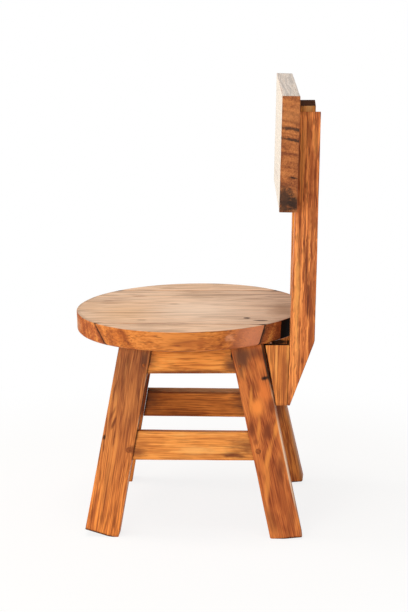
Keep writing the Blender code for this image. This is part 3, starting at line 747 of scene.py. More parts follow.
def addSideRails():
    seatUnder = seatLow.z - gap
    for name, side in sides.items():
        for kind in ("apron", "stretcher"):
            low = rails["stretcherBottom"]
            high = low + rails["stretcherHeight"]
            if kind == "apron":
                low, high = upLean(seatLow.z - rails["apronHeight"]), upLean(seatUnder)
            middle = (-side * build["frameThick"] / 2, 0, (low + high) / 2)
            place = framePlaces[name] @ Matrix.Translation(middle) @ alongY
            half = (high - low) / 2
            topRow = place[2]
            node = f"{kind}_side_{name}"
            trimFront, trimRear, trimTop = rails["trim"].get(node, (0.0, 0.0, 0.0))
            inner = rails["thick"] / 2 - rails["setBack"].get(node, 0.0)

            def spanB(a, c):
                under = half + trimFront + (trimRear - trimFront) * (c + rails["trimRun"]) / (2 * rails["trimRun"])
                if kind == "stretcher":
                    return -half - trimTop, under
                return (seatUnder - topRow[3] - topRow[0] * a - topRow[2] * c) / topRow[1], under

            cuts = []
            paintedLightAndStains = []
            for end in ("front", "rear"):
                leg = legPlaces[end, name]
                meets = leg.inverted() @ place.to_translation()
                # painted contact shade where the rail meets the leg
                paintedLightAndStains.append(contactShade(leg @ Vector((meets.x, 0, meets.z)), (0.05, 0.0024, 0.05), leg.to_3x3()))
                face = leg @ Vector((0, -outward[end] * gap, 0))
                cuts.append(planeCut(place, face, leg.to_3x3() @ Vector((0, 1, 0))))
            start = cuts[0](0, 0)
            shape = dict(rails["shape"], start=start, length=cuts[1](0, 0) - start, seed=11 + side + len(kind))
            piece = sawnBar(f"{node}_wood", place, (-rails["thick"] / 2, inner), spanB, cuts[0], cuts[1], shape)
            if node in rails["setBack"]:
                arris = place @ Vector((inner, 0.0010 - half - trimTop, 0))
                paintedLightAndStains.append(stain(arris, (0.02, 0.0012, 0.2), umber, 0.7))
            material = oiledWood(node, place, railLooks[node], railMarks.get(node, []) + paintedLightAndStains)
            dress(piece, material, "rail_wood", node)


def addCrossRails():
    for end in ("front", "rear"):
        for kind in ("apron", "stretcher"):
            node = f"{kind}_{end}"
            low = rails["crossStretcherBottom"]
            high = low + rails["crossStretcherHeight"]
            if kind == "apron":
                low, high = seatLow.z - rails["apronHeight"], seatLow.z - gap
            line = (basePlace.inverted() @ boxMiddle(node)).y
            place = basePlace @ Matrix.Translation((0, line, (low + high) / 2)) @ alongX
            cuts = []
            for name in ("right", "left"):
                side, parent = sides[name], framePlaces[name]
                inner = parent @ Vector((-side * (build["frameThick"] + gap), 0, 0))
                cuts.append(planeCut(place, inner, parent.to_3x3() @ Vector((1, 0, 0))))
            start = cuts[0](0, 0)
            half = (high - low) / 2
            halfB = rails["crossThick"] / 2
            shape = dict(rails["shape"], start=start, length=cuts[1](0, 0) - start, seed=29 + outward[end] + len(kind))
            piece = sawnBar(f"{node}_wood", place, (-half, half), lambda a, c: (-halfB, halfB), cuts[0], cuts[1], shape)
            if kind == "apron":
                down = Vector((0, 0, -1))
                deep = rails["boreLength"]
                heads = [boxMiddle(f"seat_screw_{end}_{name}") + down * (deep / 2) for name in sides]
                carve(piece, [hole(head, down, rails["boreRadius"], deep) for head in heads])
            material = oiledWood(node, place, railLooks[node])
            dress(piece, material, "rail_wood", node)


addSideRails()
addCrossRails()
print("rails sawn")


# back board, posts and wedge blocks
board = {
    "width": 0.2142,
    "thick": 0.0193,
    "height": 0.1285,
    "thicker": 0.0006,  # at the near end, and as much thinner at the far one
    "front": 0.0999,
    "rise": 0.1319,
    "lean": math.radians(1.18),
    "shape": {
        "spread": (0.0195, 0.0080), "edge": 0.0006, "endEdge": 0.0003, "flats": (14, 4), "ring": 0.005,
        "wave": 0.00025, "dent": 0.0010, "seed": 41,
    },
}
boardBottom = seatHigh.z + board["rise"]
boardCorner = seatPlace @ Matrix.Translation((0, board["front"], boardBottom)) @ Matrix.Rotation(-board["lean"], 4, "X")
boardPlace = boardCorner @ Matrix.Translation((0, board["thick"] / 2, board["height"] / 2)) @ alongX
boardLook = dict(
    plainWood, dark=(0.230, 0.064, 0.020), mid=(0.410, 0.129, 0.036), pale=(0.580, 0.206, 0.058), pores=0.35,
    pith=(0.40, -0.06), bands=150.0, mix=(0.34, 0.30, 0.18, 0.18), stops=(0.41, 0.50, 0.60),
    endDark=0.0, endCalm=0.5, endDull=0.7, gloss=0.22, haze=0.0, rough=(0.16, 0.26),
    # the pale top is dust and dryness, the pale front face is a painted highlight
    dustyAndLitFaces=(("Z", 1, (0.600, 0.470, 0.335), 0.85, 1.0), ("Y", -1, (0.820, 0.690, 0.500), 0.86, 0.22)), dryDull=0.08,
    dashes=(((400, 400, 8), 0.46, 0.60, 0.60), ((800, 800, 30), 0.50, 0.62, 0.55)), dashTone=(0.170, 0.105, 0.060),
)
darkGrainAndShade = (0.036, 0.019, 0.012)
boardMarks = [
    mark((107.1, 103, 483), (15, 20, 10), (0.62, 0.25, 0.08), 0.4, 0),
    mark((107.1, 105, 467.6), (2.6, 26, 12), darkGrainAndShade, 0.85, ragged=2.0, turn=("Z", -9)),
    mark((107.1, 105, 455.2), (2.1, 26, 12), darkGrainAndShade, 0.85, ragged=2.0, turn=("Z", -9)),
    mark((107.1, 105, 439.5), (1.6, 18, 12), stained, 0.6, ragged=2.0, turn=("Z", -9)),
    mark((107.1, 102, 425), (1.6, 26, 12), stained, 0.5, ragged=2.0, turn=("Z", -9)),
    # these three darken the bottom of the near end: partly grain, partly painted shade where the end turns under
    mark((107.1, 106.5, 412.8), (1.6, 6, 8), blackened, 0.95, turn=("Z", -9)),
    mark((107.1, 96, 388), (23, 13, 6), darkGrainAndShade, 0.9),
    mark((107.1, 106, 384), (15, 8, 6), blackened, 0.9),
    mark((-31, 91.6, 396.7), (6, 4, 30), (0.33, 0.15, 0.07), 0.8, 0),
    mark((17.2, 91.6, 398.8), (4, 4, 22), (0.33, 0.15, 0.07), 0.6, 0),
]


def addBoard():
    halfA, halfB, halfC = board["height"] / 2, board["thick"] / 2, board["width"] / 2
    shape = dict(board["shape"], start=-halfC, length=2 * halfC)
    piece = sawnBar(
        "back_board_wood", boardPlace, (-halfA, halfA),
        lambda a, c: (-halfB - board["thicker"] * c / halfC, halfB),
        lambda a, b: -halfC, lambda a, b: halfC, shape,
    )
    material = oiledWood("back_board", boardPlace, boardLook, boardMarks)
    dress(piece, material, "board_wood", "back_board")


addBoard()

posts = {
    "thick": 0.0245,
    "top": boardBottom + board["height"] - 0.0246,
    "topDepth": 0.0257,
    "knee": seatLow.z + 0.0020,
    "kneeDepth": 0.0270,
    "foot": seatLow.z - 0.0698,
    "footDepth": 0.0030,
    "wedgeFoot": 0.0078,
    "wedgeTop": seatLow.z - 0.0020,
    "wedgeLoose": 0.0022,  # the outer edge of the wedge stands a little off the leg at its top
    "wedgeShape": {"edge": 0.0006, "endEdge": 0.0004},
    "boreRadius": 0.0044,
    "boreLength": 0.030,
    "boreBed": 0.003,
    "grainAt": 0.11,
    "grainTilt": math.radians(-1.5),
    "footTrim": -0.0004,
    "rearTrim": 0.0011,
    "slideOver": 0.05,  # the slide comes in over this height above the foot
    "slide": {"left": (0.0, 0.0), "right": (0.0066, 0.0016)},  # at the seat and at the board, as seen
    "topTrim": {"left": 0.0, "right": 0.0008},
    "thinTop": {"left": 0.0005, "right": 0.0042},
    "shape": {"edge": 0.0009, "endEdge": 0.0005, "flats": (5, 6), "ring": 0.0035, "wave": 0.00020, "dent": 0.0008},
}
rearLeg = legs["rear"]
posts["footFront"] = (
    rearLeg["foot"] - math.tan(rearLeg["rake"]) * upLean(posts["foot"])
    + legs["width"] / math.cos(rearLeg["rake"]) + posts["wedgeFoot"]
)


def lerp(low, high, share):
    return low + (high - low) * share


def held(share):
    return min(1.0, max(0.0, share))


def postFront(level):
    line = board["front"] + board["thick"] / math.cos(board["lean"]) + gap
    if level >= boardBottom:
        return line + math.tan(board["lean"]) * (level - boardBottom)
    return lerp(posts["footFront"], line, (level - posts["foot"]) / (boardBottom - posts["foot"]))


def postRear(level):
    knee = postFront(posts["knee"]) + posts["kneeDepth"]
    if level >= posts["knee"]:
        share = (level - posts["knee"]) / (posts["top"] - posts["knee"])
        return lerp(knee, postFront(posts["top"]) + posts["topDepth"], share)
    heel = posts["footFront"] + posts["footDepth"]
    return lerp(heel, knee, (level - posts["foot"]) / (posts["knee"] - posts["foot"]))


postLooks = {
    "left": dict(
        plainWood, dark=(0.230, 0.054, 0.015), mid=(0.500, 0.142, 0.034), pale=(0.740, 0.258, 0.060), pores=0.65,
        shift=(0.4, 0.2, 0.9), mix=(0.04, 0.22, 0.44, 0.30), stops=(0.30, 0.50, 0.70), sway=0.003,
        swaySize=(30, 30, 60), blotchSize=(110, 110, 13), streakSize=(430, 430, 9), poreSize=(460, 460, 60),
        # the fade brightens the post, more toward its top: painted light against the shade the board casts there
        fade=(0.22, 0.46, (1.19, 1.20, 1.31), (1.52, 1.58, 1.86)), endTone=(0.12, 0.10, 0.09), endDark=1.0,
    ),
    "right": dict(
        plainWood, mid=(0.800, 0.260, 0.042), pale=(0.920, 0.360, 0.065), shift=(1.3, 0.7, 0.5),
        mix=(0.06, 0.36, 0.34, 0.24), gloss=0.04, endTone=(0.06, 0.05, 0.05), endDark=1.0,
    ),
}
wedgeLook = dict(
    plainWood, dark=(0.330, 0.090, 0.022), mid=(0.720, 0.232, 0.050), pale=(0.900, 0.370, 0.085), shift=(0.9, 0.3, 0.1),
    mix=(0.06, 0.32, 0.28, 0.34), stops=(0.28, 0.50, 0.72), streakSize=(380, 380, 8),
    # the near-black end tone paints the shade on the wedge's top as well as its end grain
    endTone=(0.05, 0.04, 0.04), endDark=1.0,
)
heart = (0.110, 0.026, 0.014)
dusk = (0.24, 0.058, 0.018)
postMarks = {
    "left": [
        mark((81, 124.8, 270), (6, 2.2, 26), stained, 0.75),
        mark((72, 115, 325), (6, 1.6, 50), stained, 0.4),
        mark((73.5, 123.2, 313), (10, 4, 48), dusk, 0.75, 0.1),
        mark((82, 129.2, 262), (10, 6.6, 44), dusk, 0.5, 0.1),
        mark((88.5, 129, 222), (10, 6, 30), dusk, 0.4, 0),
        mark((66.5, 129.5, 360), (10, 5, 26), dusk, 0.5, 0),
        mark((59, 132.5, 400), (10, 4, 30), dusk, 0.6, 0),
        mark((66.5, 115.6, 356), (10, 3.4, 24), dusk, 0.6, 0),
        mark((50, 125, 460), (10, 4.4, 30), (0.2, 0.05, 0.018), 0.5, 0),
        mark((69, 130, 345), (10, 6.5, 48), (0.27, 0.066, 0.02), 0.6, 0),
        mark((78, 130, 295), (10, 6, 44), (0.27, 0.066, 0.02), 0.55, 0),
        mark((81.5, 112.5, 275), (10, 5.2, 85), (0.93, 0.4, 0.1), 0.75, 0),
        mark((89.5, 113, 215), (10, 5, 45), (0.92, 0.39, 0.105), 0.3, 0),
        mark((70.5, 120.3, 336), (10, 1.6, 30), heart, 0.7, 0, 0.5),
        mark((76.1, 122.5, 302), (10, 1.6, 30), heart, 0.75, 0, 0.5),
        mark((81.8, 124.6, 267), (10, 1.8, 30), heart, 0.8, 0, 0.5),
        mark((55, 118, 425), (10, 4.4, 70), (0.82, 0.32, 0.08), 0.65, 0),
        mark((52.3, 133.5, 445), (10, 3.4, 28), (0.82, 0.32, 0.08), 0.55, 0),
    ],
    "right": [
        # painted light on the far post's upper strip, which the near post shades
        mark((-23.2, 129, 472.8), (30, 9, 10), (1, 0.56, 0.2), 0.85, 0.1, upright=True),
        # painted shade in the dark gap behind the near wedge's top
        mark((-70.6, 107, 183.3), (4, 10, 3.4), blackened, 0.95, 0.5, 0.3, matte=True),
    ],
}
wedgeMarks = {
    "left": [
        mark((93.6, 97, 190), (10, 6, 44), (0.36, 0.1, 0.027), 0.75, 0),
        mark((95.5, 98.5, 176), (10, 6.5, 30), (0.36, 0.1, 0.027), 0.75, 0),
        mark((92.7, 88.8, 200), (6, 2.8, 36), (0.95, 0.42, 0.11), 0.6, 0),
    ],
    "right": [
        # painted shade in the dark gap behind the near wedge's top
        mark((-70.6, 94, 183.8), (4, 18, 4.2), blackened, 0.95, 0.5, 0.3, matte=True),
    ],
}


def postSpan(name, level):
    atSeat, atBoard = posts["slide"][name]
    share = held((level - seatLow.z) / (boardBottom - seatLow.z))
    slide = lerp(atSeat, atBoard, share) * held((level - posts["foot"]) / posts["slideOver"])
    rise = held((level - posts["foot"]) / (posts["knee"] - posts["foot"]))
    upper = held((level - posts["knee"]) / (posts["top"] - posts["knee"]))
    trim = lerp(posts["footTrim"], posts["rearTrim"], rise) - posts["thinTop"][name] * upper
    return postFront(level) + slide, postRear(level) + slide + trim


# how far the rear face of a post stands off the plain one, for its screws to follow
def rearShift(name, level):
    return postSpan(name, level)[1] - postRear(level)


def addPosts():
    lean = math.cos(build["lean"])
    for name, side in sides.items():
        place = postPlaces[name]
        spanA = sorted((-side * posts["thick"], 0.0))
        low, high = upLean(posts["foot"]), upLean(posts["top"] + posts["topTrim"][name])
        shape = dict(posts["shape"], start=low, length=high - low, seed=53 + side)
        piece = sawnBar(
            f"post_{name}_wood", place, spanA, lambda a, c: postSpan(name, c * lean),
            lambda a, b: low, lambda a, b: high, shape,
        )
        bores = []
        for screw in [f"{kind}_screw_{word}_{name}" for kind in ("post", "board") for word in ("upper", "lower")]:
            lowCorner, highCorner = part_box(screw)
            middle = (lowCorner + highCorner) / 2
            bed = Vector((middle.x, highCorner.y - posts["boreBed"] + rearShift(name, middle.z), middle.z))
            bed += Vector((0, posts["boreLength"] / 2, 0))
            bores.append(hole(bed, Vector((0, 1, 0)), posts["boreRadius"], posts["boreLength"]))
        carve(piece, bores)
        grain = place @ Matrix.Translation((spanA[0], posts["grainAt"], 0))
        grain = grain @ Matrix.Rotation(posts["grainTilt"], 4, "X")
        material = oiledWood(f"post_{name}", grain, postLooks[name], postMarks[name])
        dress(piece, material, "post_wood", f"post_{name}")

        leg = legPlaces["rear", name]
        topSlide = legs["slide"].get(("rear", name), (0.0, 0.0))[1]
        legBack = leg @ Vector((0, legs["width"] + topSlide + gap, 0))
        legFacing = place.inverted().to_3x3() @ (leg.to_3x3() @ Vector((0, 1, 0)))
        legSpot = place.inverted() @ legBack

        def spanB(a, c):
            front = legSpot.y - (legFacing.x * (a - legSpot.x) + legFacing.z * (c - legSpot.z)) / legFacing.y
            loose = posts["wedgeLoose"] * (c * lean - posts["foot"]) / (posts["wedgeTop"] - posts["foot"])
            loose *= held(1 - abs(a) / posts["thick"])
            return front + loose, postSpan(name, c * lean)[0] - gap

        top = upLean(posts["wedgeTop"])
        shape = dict(posts["shape"], start=low, length=top - low, seed=61 + side, **posts["wedgeShape"])
        wedge = sawnBar(f"wedge_block_{name}_wood", place, spanA, spanB, lambda a, b: low, lambda a, b: top, shape)
        half = (low + top) / 2
        slope = math.degrees(math.atan2(spanB(0, low)[0] - spanB(0, top)[0], top - low))
        frontFace = place @ Vector((-side * posts["thick"] / 2, spanB(0, half)[0] - gap, half))
        rearFace = place @ Vector((0, spanB(0, low)[1], half))
        paintedLightAndStains = [
            # painted shade: the black gap line between the rear leg and the wedge
            stain(frontFace, (0.06, 0.0014, 0.06), blackened, 0.95, 0.6, 0.3, ("X", slope), matte=True),
            stain(rearFace, (0.03, 0.0034, 0.05), stained, 0.6, 0),
        ]
        material = oiledWood(f"wedge_block_{name}", place, wedgeLook, paintedLightAndStains + wedgeMarks[name])
        dress(wedge, material, "post_wood", f"wedge_block_{name}")


addPosts()
print("back fitted")


# seat planks
seat = {
    "radius": 0.1324,
    "oval": 0.047,
    "slide": 0.0007,
    "heading": math.radians(-45.0),
    "joint": {"near": (0.0899, 0.0988), "far": (0.0895, 0.0895)},  # from the middle, at the top and underneath
    "jointTurn": {"near": (0.0472, 0.0013), "far": (0.0, 0.0)},  # sideways run for each unit of length
    "jointGap": 0.0008,
    "jointGroove": 0.0007,  # the joint opens into a worn groove at the rim
    "grooveIn": 1.8,  # of the groove's width
    "grooveWear": (1.7, 4.0, 1.0),  # at its lips, in its corner and down the joint
    "rimWave": 0.0004,
    "rimNoise": (30, 30, 60),
    "arcSteps": 64,
    "jointSteps": 24,
    "notchOver": 0.01,
    "notchBack": 0.2,
    "undercut": 0.0010,
    "topEdge": 0.0010,
    "underEdge": 0.0030,
    "jointEdge": 0.0003,
    "steps": 5,
}


# the rim is a turned ellipse, so x and y are each one cosine and one sine of the same angle
def rimTerms(radius):
    long, short = radius * (1 + seat["oval"]), radius * (1 - seat["oval"])
    cosine, sine = math.cos(seat["heading"]), math.sin(seat["heading"])
    return (long * cosine, -short * sine), (long * sine, short * cosine)


def rimArc(radius, start, end, count):
    (xc, xs), (yc, ys) = rimTerms(radius)
    points = []
    for k in range(count + 1):
        t = start + (end - start) * k / count
        points.append(Vector((xc * math.cos(t) + xs * math.sin(t), yc * math.cos(t) + ys * math.sin(t))))
    return points


# the two angles at which the rim meets the line x = edge + slope * y
def rimMeets(radius, edge, slope):
    (xc, xs), (yc, ys) = rimTerms(radius)
    c, s = xc - slope * yc, xs - slope * ys
    middle, half = math.atan2(s, c), math.acos(edge / math.hypot(c, s))
    return middle - half, middle + half


def seatOutline(kind, radius, trim, depth):
    off = (seat["jointGap"] / 2 + trim) * (-1 if kind == "middle" else 1)
    edges, turns = (
        {side: lerp(*seat[key][side], depth) for side in ("near", "far")} for key in ("joint", "jointTurn")
    )
    nearLow, nearHigh = rimMeets(radius, edges["near"] + off, turns["near"])
    farLow, farHigh = rimMeets(radius, -edges["far"] - off, turns["far"])
    spans = {
        "left": [(nearLow, nearHigh)],
        "right": [(farHigh, farLow + 2 * math.pi)],
        "middle": [(nearHigh, farHigh), (farLow, nearLow)],
    }[kind]
    back = seat["jointGroove"] / radius
    ends = [rimArc(radius, start, end, 1) for start, end in spans]
    arcSteps, jointSteps = seat["arcSteps"], seat["jointSteps"]
    lip, corner, inside = seat["grooveWear"]
    points = []
    for index, (start, end) in enumerate(spans):
        arc = rimArc(radius, start + back, end - back, arcSteps)
        points += [(point, 1.0, lip if k in (0, arcSteps) else 0.0) for k, point in enumerate(arc)]
        first, last = ends[index][1], ends[(index + 1) % len(spans)][0]
        inward = (last - first).normalized() * seat["jointGroove"] * seat["grooveIn"]
        first, last = first + inward, last - inward
        for k in range(jointSteps + 1):
            points.append((first.lerp(last, k / jointSteps), 0.0, corner if k in (0, jointSteps) else inside))
    return points


def seatPlank(kind):
    low, high = seatLow.z, seatHigh.z
    topEdge, underEdge, steps = seat["topEdge"], seat["underEdge"], seat["steps"]
    profile = []
    for k in range(steps + 1):
        angle = math.pi / 2 * k / steps
        share = 1 - math.sin(angle)
        profile.append((low + underEdge * (1 - math.cos(angle)), underEdge * share, share))
    for k in range(steps + 1):
        angle = math.pi / 2 * (1 - k / steps)
        share = 1 - math.sin(angle)
        profile.append((high - topEdge * (1 - math.cos(angle)), topEdge * share, share))
    bm = bmesh.new()
    wearAndLight = []
    loops = []
    for z, inset, share in profile:
        depth = (high - z) / (high - low)
        lean = seat["undercut"] * depth
        outline = seatOutline(kind, seat["radius"] - inset - lean, seat["jointEdge"] * share, depth)
        ring = []
        for point, rim, worn in outline:
            wave = noiseOn(seat["rimNoise"], (point.x, point.y, z), Vector()) * seat["rimWave"] if rim else 0.0
            ring.append(bm.verts.new((*(point * (1 + wave / seat["radius"])), z)))
        loops.append(ring)
        wearAndLight += [worn + 0.8 * min(1.0, 2 * share) * rim for point, rim, worn in outline]
    size = len(loops[0])
    for under in (True, False):
        edgeLoop = loops[0] if under else loops[-1]
        middle = sum((vert.co for vert in edgeLoop), Vector()) / size
        cap = []
        for shrink in (0.97, 0.9, 0.75, 0.5, 0.25):
            cap.append([bm.verts.new(middle.lerp(vert.co, shrink)) for vert in edgeLoop])
            wearAndLight += [0.0] * size
        loops = cap[::-1] + loops if under else loops + cap
    for lower, upper in zip(loops, loops[1:]):
        for k in range(size):
            bm.faces.new((lower[k], lower[(k + 1) % size], upper[(k + 1) % size], upper[k]))
    bm.faces.new(loops[0])
    bm.faces.new(loops[-1])
    return finishMesh(f"seat_plank_{kind}_wood", bm, seatPlace @ Matrix.Translation((0, seat["slide"], 0)), wearAndLight)


seatWood = dict(
    plainWood, mix=(0.34, 0.32, 0.16, 0.18), endCalm=0.45, endDark=0.1, gloss=0.12, haze=0.0, rough=(0.32, 0.48),
    pith=(-0.30, 0.108), bands=130.0, rub=0.6, edgeGrimeAndLight=(0.050, 0.018, 0.009),
    dustyAndLitFaces=(("Z", 1, (0.815, 0.597, 0.418), 0.78, 1.0),), dryDull=0.8, dashTone=(0.190, 0.098, 0.054),
    dashes=(((170, 170, 5), 0.52, 0.70, 0.40), ((420, 420, 16), 0.55, 0.63, 0.68), ((60, 60, 14), 0.48, 0.70, 0.26)),
)
seatLooks = {
    "left": dict(seatWood, dark=(0.320, 0.078, 0.017), mid=(0.545, 0.162, 0.031), pale=(0.720, 0.250, 0.052)),
    "middle": dict(
        seatWood, dark=(0.250, 0.058, 0.015), mid=(0.430, 0.108, 0.027), shift=(0.0, 0.8, 0.3),
        fade=(0.02, 0.11, (1.0, 1.0, 1.0), (0.80, 0.80, 0.82)),
    ),
    "right": dict(seatWood, shift=(0.9, 0.1, 0.6)),
}
creviceShade = (0.005, 0.003, 0.002)
satOn = mark((15, 5, 242.7), (85, 8, 85), (0.83, 0.645, 0.49), 0.5, 0, 0.5)
ripe = mark((30, -85, 242.7), (90, 8, 60), (0.7, 0.4, 0.19), 0.4, 0, 0.5)
seatMarks = {
    "left": [
        mark((129, -22.4, 227.3), (6, 2.6, 7), stained, 0.75),
        # painted sheen: a paler, pinker cast on the rim where it turns toward the back
        mark((105, 64, 231), (60, 60, 40), (0.7, 0.25, 0.132), 0.8, 0, 0.3, upright=True),
        # painted highlight: a small lighter spot on the rim
        mark((124, 37.5, 233), (10, 7, 8), (0.86, 0.44, 0.26), 0.6, 0, upright=True),
        mark((105, -88, 231), (12, 12, 12), (0.62, 0.17, 0.03), 0.6),
        mark((129, -5, 230), (14, 14, 36), (0.38, 0.095, 0.022), 0.6, 0, upright=True),
        satOn,
        ripe,
    ],
    "middle": [
        mark((69.5, -64.8, 242.7), (2.6, 4, 8.5), blackened, 0.8),
        mark((73, 73.2, 242.7), (3, 4, 9.5), blackened, 0.95, 0.7, 2.2),
        mark((60, 56.2, 242.7), (5.2, 4, 3.8), blackened, 0.95, 0.7, 2.2),
        mark((-21, -103.5, 242.7), (2.6, 4, 22), stained, 0.6),
        mark((-34, -96, 242.7), (2.6, 4, 26), stained, 0.5),
        mark((-48, -98, 242.7), (2.6, 4, 20), stained, 0.5),
        mark((-59, -68.8, 242.7), (3, 4, 13), stained, 0.8),
        mark((-15, -27.8, 242.7), (2.6, 4, 9), stained, 0.8),
        mark((20, -139, 230), (36, 16, 16), (0.66, 0.43, 0.27), 0.6, 0, upright=True),
        satOn,
        ripe,
        # painted shade on the seat top beside the posts
        mark((20, 99, 242.7), (65, 6, 26), (0.28, 0.14, 0.07), 0.6, 0),
        mark((-10, -127, 242.7), (50, 6, 26), (0.52, 0.3, 0.16), 0.4, 0),
        # painted shade in the crevice between the rim and the near post
        mark((64, 100.5, 228.5), (12, 60, 12), creviceShade, 1.0, 0.85, 0.1, matte=True, upright=True),
    ],
}


def addSeat():
    lean = math.cos(build["lean"])
    for kind in ("middle", "left", "right"):
        piece = seatPlank(kind)
        cutters = []
        for name, side in sides.items():
            if kind not in ("middle", name):
                continue
            spanA = sorted((-side * posts["thick"], 0.0))
            corners = []
            for level in (seatLow.z - seat["notchOver"], seatHigh.z + seat["notchOver"]):
                c = upLean(level)
                for a in (spanA[0] - 2 * gap, spanA[1] + 2 * gap):
                    corners.append(postPlaces[name] @ Vector((a, postSpan(name, c * lean)[0] - 2 * gap, c)))
                    corners.append(postPlaces[name] @ Vector((a, seat["notchBack"], c)))
            cutters.append(wedgeCutter(corners))
        carve(piece, cutters)
        grain = seatPlace @ Matrix.Translation((0, 0, seatHigh.z)) @ alongY
        material = oiledWood(f"seat_plank_{kind}", grain, seatLooks[kind], seatMarks.get(kind, ()))
        dress(piece, material, "seat_wood", f"seat_plank_{kind}")


addSeat()
print("seat glued up")


# pegs and screws, one tree each
def newTree(name, inputs):
    tree = bpy.data.node_groups.new(name, "GeometryNodeTree")
    tree.interface.new_socket("points", in_out="INPUT", socket_type="NodeSocketGeometry")
    sockets = {}
    for key, (kind, value) in inputs.items():
        socket = tree.interface.new_socket(key, in_out="INPUT", socket_type=kind)
        if value is not None:
            socket.default_value = value
        sockets[key] = socket.identifier
    tree.interface.new_socket("mesh", in_out="OUTPUT", socket_type="NodeSocketGeometry")
    return tree, sockets


def namedValue(tree, name, kind):
    return addNode(tree, "GeometryNodeInputNamedAttribute", {"Name": name}, data_type=kind).outputs["Attribute"]


def standOnPoints(tree, points, shape, material, widths):
    facing = {"Vector": namedValue(tree, "facing", "FLOAT_VECTOR")}
    stand = addNode(tree, "GeometryNodeInstanceOnPoints", {
        "Points": points,
        "Instance": addNode(tree, "GeometryNodeSetShadeSmooth", {"Geometry": shape}).outputs["Geometry"],
        "Rotation": addNode(tree, "FunctionNodeAlignRotationToVector", facing, axis="Z").outputs["Rotation"],
        "Scale": widths,
    })
    real = addNode(tree, "GeometryNodeRealizeInstances", {"Geometry": stand.outputs["Instances"]})
    paint = addNode(tree, "GeometryNodeSetMaterial", {"Geometry": real.outputs["Geometry"], "Material": material})
    addNode(tree, "NodeGroupOutput", {"mesh": paint.outputs["Geometry"]})


# crown of a round top: height falls off with the square of the distance from the axis
def crown(tree, geometry, rise, above):
    spot = addNode(tree, "GeometryNodeInputPosition").outputs["Position"]
    parts = addNode(tree, "ShaderNodeSeparateXYZ", {0: spot}).outputs
    far = mathOp(tree, "ADD", mathOp(tree, "POWER", parts["X"], 2.0), mathOp(tree, "POWER", parts["Y"], 2.0))
    lift = mathOp(tree, "MULTIPLY", mathOp(tree, "SUBTRACT", 1.0, far), rise)
    high = addNode(
        tree, "FunctionNodeCompare", {"A": parts["Z"], "B": above}, data_type="FLOAT", operation="GREATER_THAN",
    )
    return addNode(tree, "GeometryNodeSetPosition", {
        "Geometry": geometry, "Selection": high.outputs["Result"],
        "Offset": addNode(tree, "ShaderNodeCombineXYZ", {"Z": lift}).outputs["Vector"],
    }).outputs["Geometry"]


def makePoints(name, spots):
    mesh = bpy.data.meshes.new(name)
    mesh.from_pydata([spot["at"] for spot in spots], [], [])
    facing = mesh.attributes.new("facing", "FLOAT_VECTOR", "POINT")
    facing.data.foreach_set("vector", [number for spot in spots for number in spot["facing"]])
    for key in ("radius", "length"):
        sizes = mesh.attributes.new(key, "FLOAT", "POINT")
        sizes.data.foreach_set("value", [spot[key] for spot in spots])
    holder = bpy.data.objects.new(name, mesh)
    scene.collection.objects.link(holder)
    return holder


def runTree(holder, tree, values):
    modifier = holder.modifiers.new(tree.name, "NODES")
    modifier.node_group = tree
    for identifier, value in values.items():
        modifier[identifier] = value
    bakeModifiers(holder)


pegs = {"peg": 0.0029, "pin": 0.0019, "length": 0.0200, "proud": 0.0002, "crown": 0.0004, "sides": 28}
nearTop = 0.49  # in a cylinder one unit high


def pegTree():
    tree, sockets = newTree("flushPegs", {
        "sides": ("NodeSocketInt", pegs["sides"]),
        "crown": ("NodeSocketFloat", pegs["crown"]),
        "wood": ("NodeSocketMaterial", None),
    })
    given = addNode(tree, "NodeGroupInput").outputs
    sizes = {"Vertices": given["sides"], "Fill Segments": 4, "Radius": 1.0, "Depth": 1.0}
    body = addNode(tree, "GeometryNodeMeshCylinder", sizes)
    reach = namedValue(tree, "radius", "FLOAT")
    widths = addNode(tree, "ShaderNodeCombineXYZ", {"X": reach, "Y": reach, "Z": namedValue(tree, "length", "FLOAT")})
    share = mathOp(tree, "DIVIDE", given["crown"], pegs["length"])
    top = crown(tree, body.outputs["Mesh"], share, nearTop)
    standOnPoints(tree, given["points"], top, given["wood"], widths.outputs["Vector"])
    return tree, sockets


def addPegs():
    spots = []
    nodes = []
    for name, side in sides.items():
        axis = framePlaces[name].to_3x3() @ Vector((side, 0, 0))
        for end in ("front", "rear"):
            for kind in ("peg", "pin"):
                node = f"{kind}_{end}_{name}"
                nodes.append(node)
                at = boxMiddle(node) + axis * pegs["proud"]
                spots.append({"at": at, "facing": axis, "radius": pegs[kind], "length": pegs["length"]})
    holder = makePoints("pegs_wood", spots)
    tree, sockets = pegTree()
    look = dict(plainWood, dark=(0.19, 0.048, 0.015), mid=(0.33, 0.090, 0.025), pale=(0.46, 0.140, 0.036), endDark=0.15)
    material = oiledWood("peg_wood_end", basePlace @ alongX, look)
    values = {sockets[key]: pegs[key] for key in ("sides", "crown")}
    runTree(holder, tree, {**values, sockets["wood"]: material})
    dress(holder, material, "peg_wood", *nodes)


addPegs()

screws = {
    "headRadius": 0.0038,
    "headHeight": 0.0014,
    "headBed": 0.0026,  # from the solid's end to the underside of the head
    "crown": 0.0012,
    "shank": 0.0020,
    "tip": 0.0004,
    "length": 0.024,
    "slot": 0.0011,
    "slotReach": 1.15,
    "slotDepth": 0.0014,
}


def screwSteel():
    material = bpy.data.materials.new("screw_steel_brushed")
    material.use_nodes = True
    tree = material.node_tree
    shader = tree.nodes["Principled BSDF"].inputs
    coords = addNode(tree, "ShaderNodeTexCoord").outputs["Object"]
    dull = noiseAt(tree, coords, (700, 700, 700), 3.0)["Fac"]
    rust = remap(tree, noiseAt(tree, coords, (240, 240, 240))["Fac"], 0.5, 0.72)
    feed(tree, shader["Base Color"], mixColour(tree, rust, (0.56, 0.54, 0.50), (0.30, 0.22, 0.15)))
    feed(tree, shader["Roughness"], remap(tree, dull, 0.3, 0.7, 0.28, 0.48))
    shader["Metallic"].default_value = 1.0
    return material


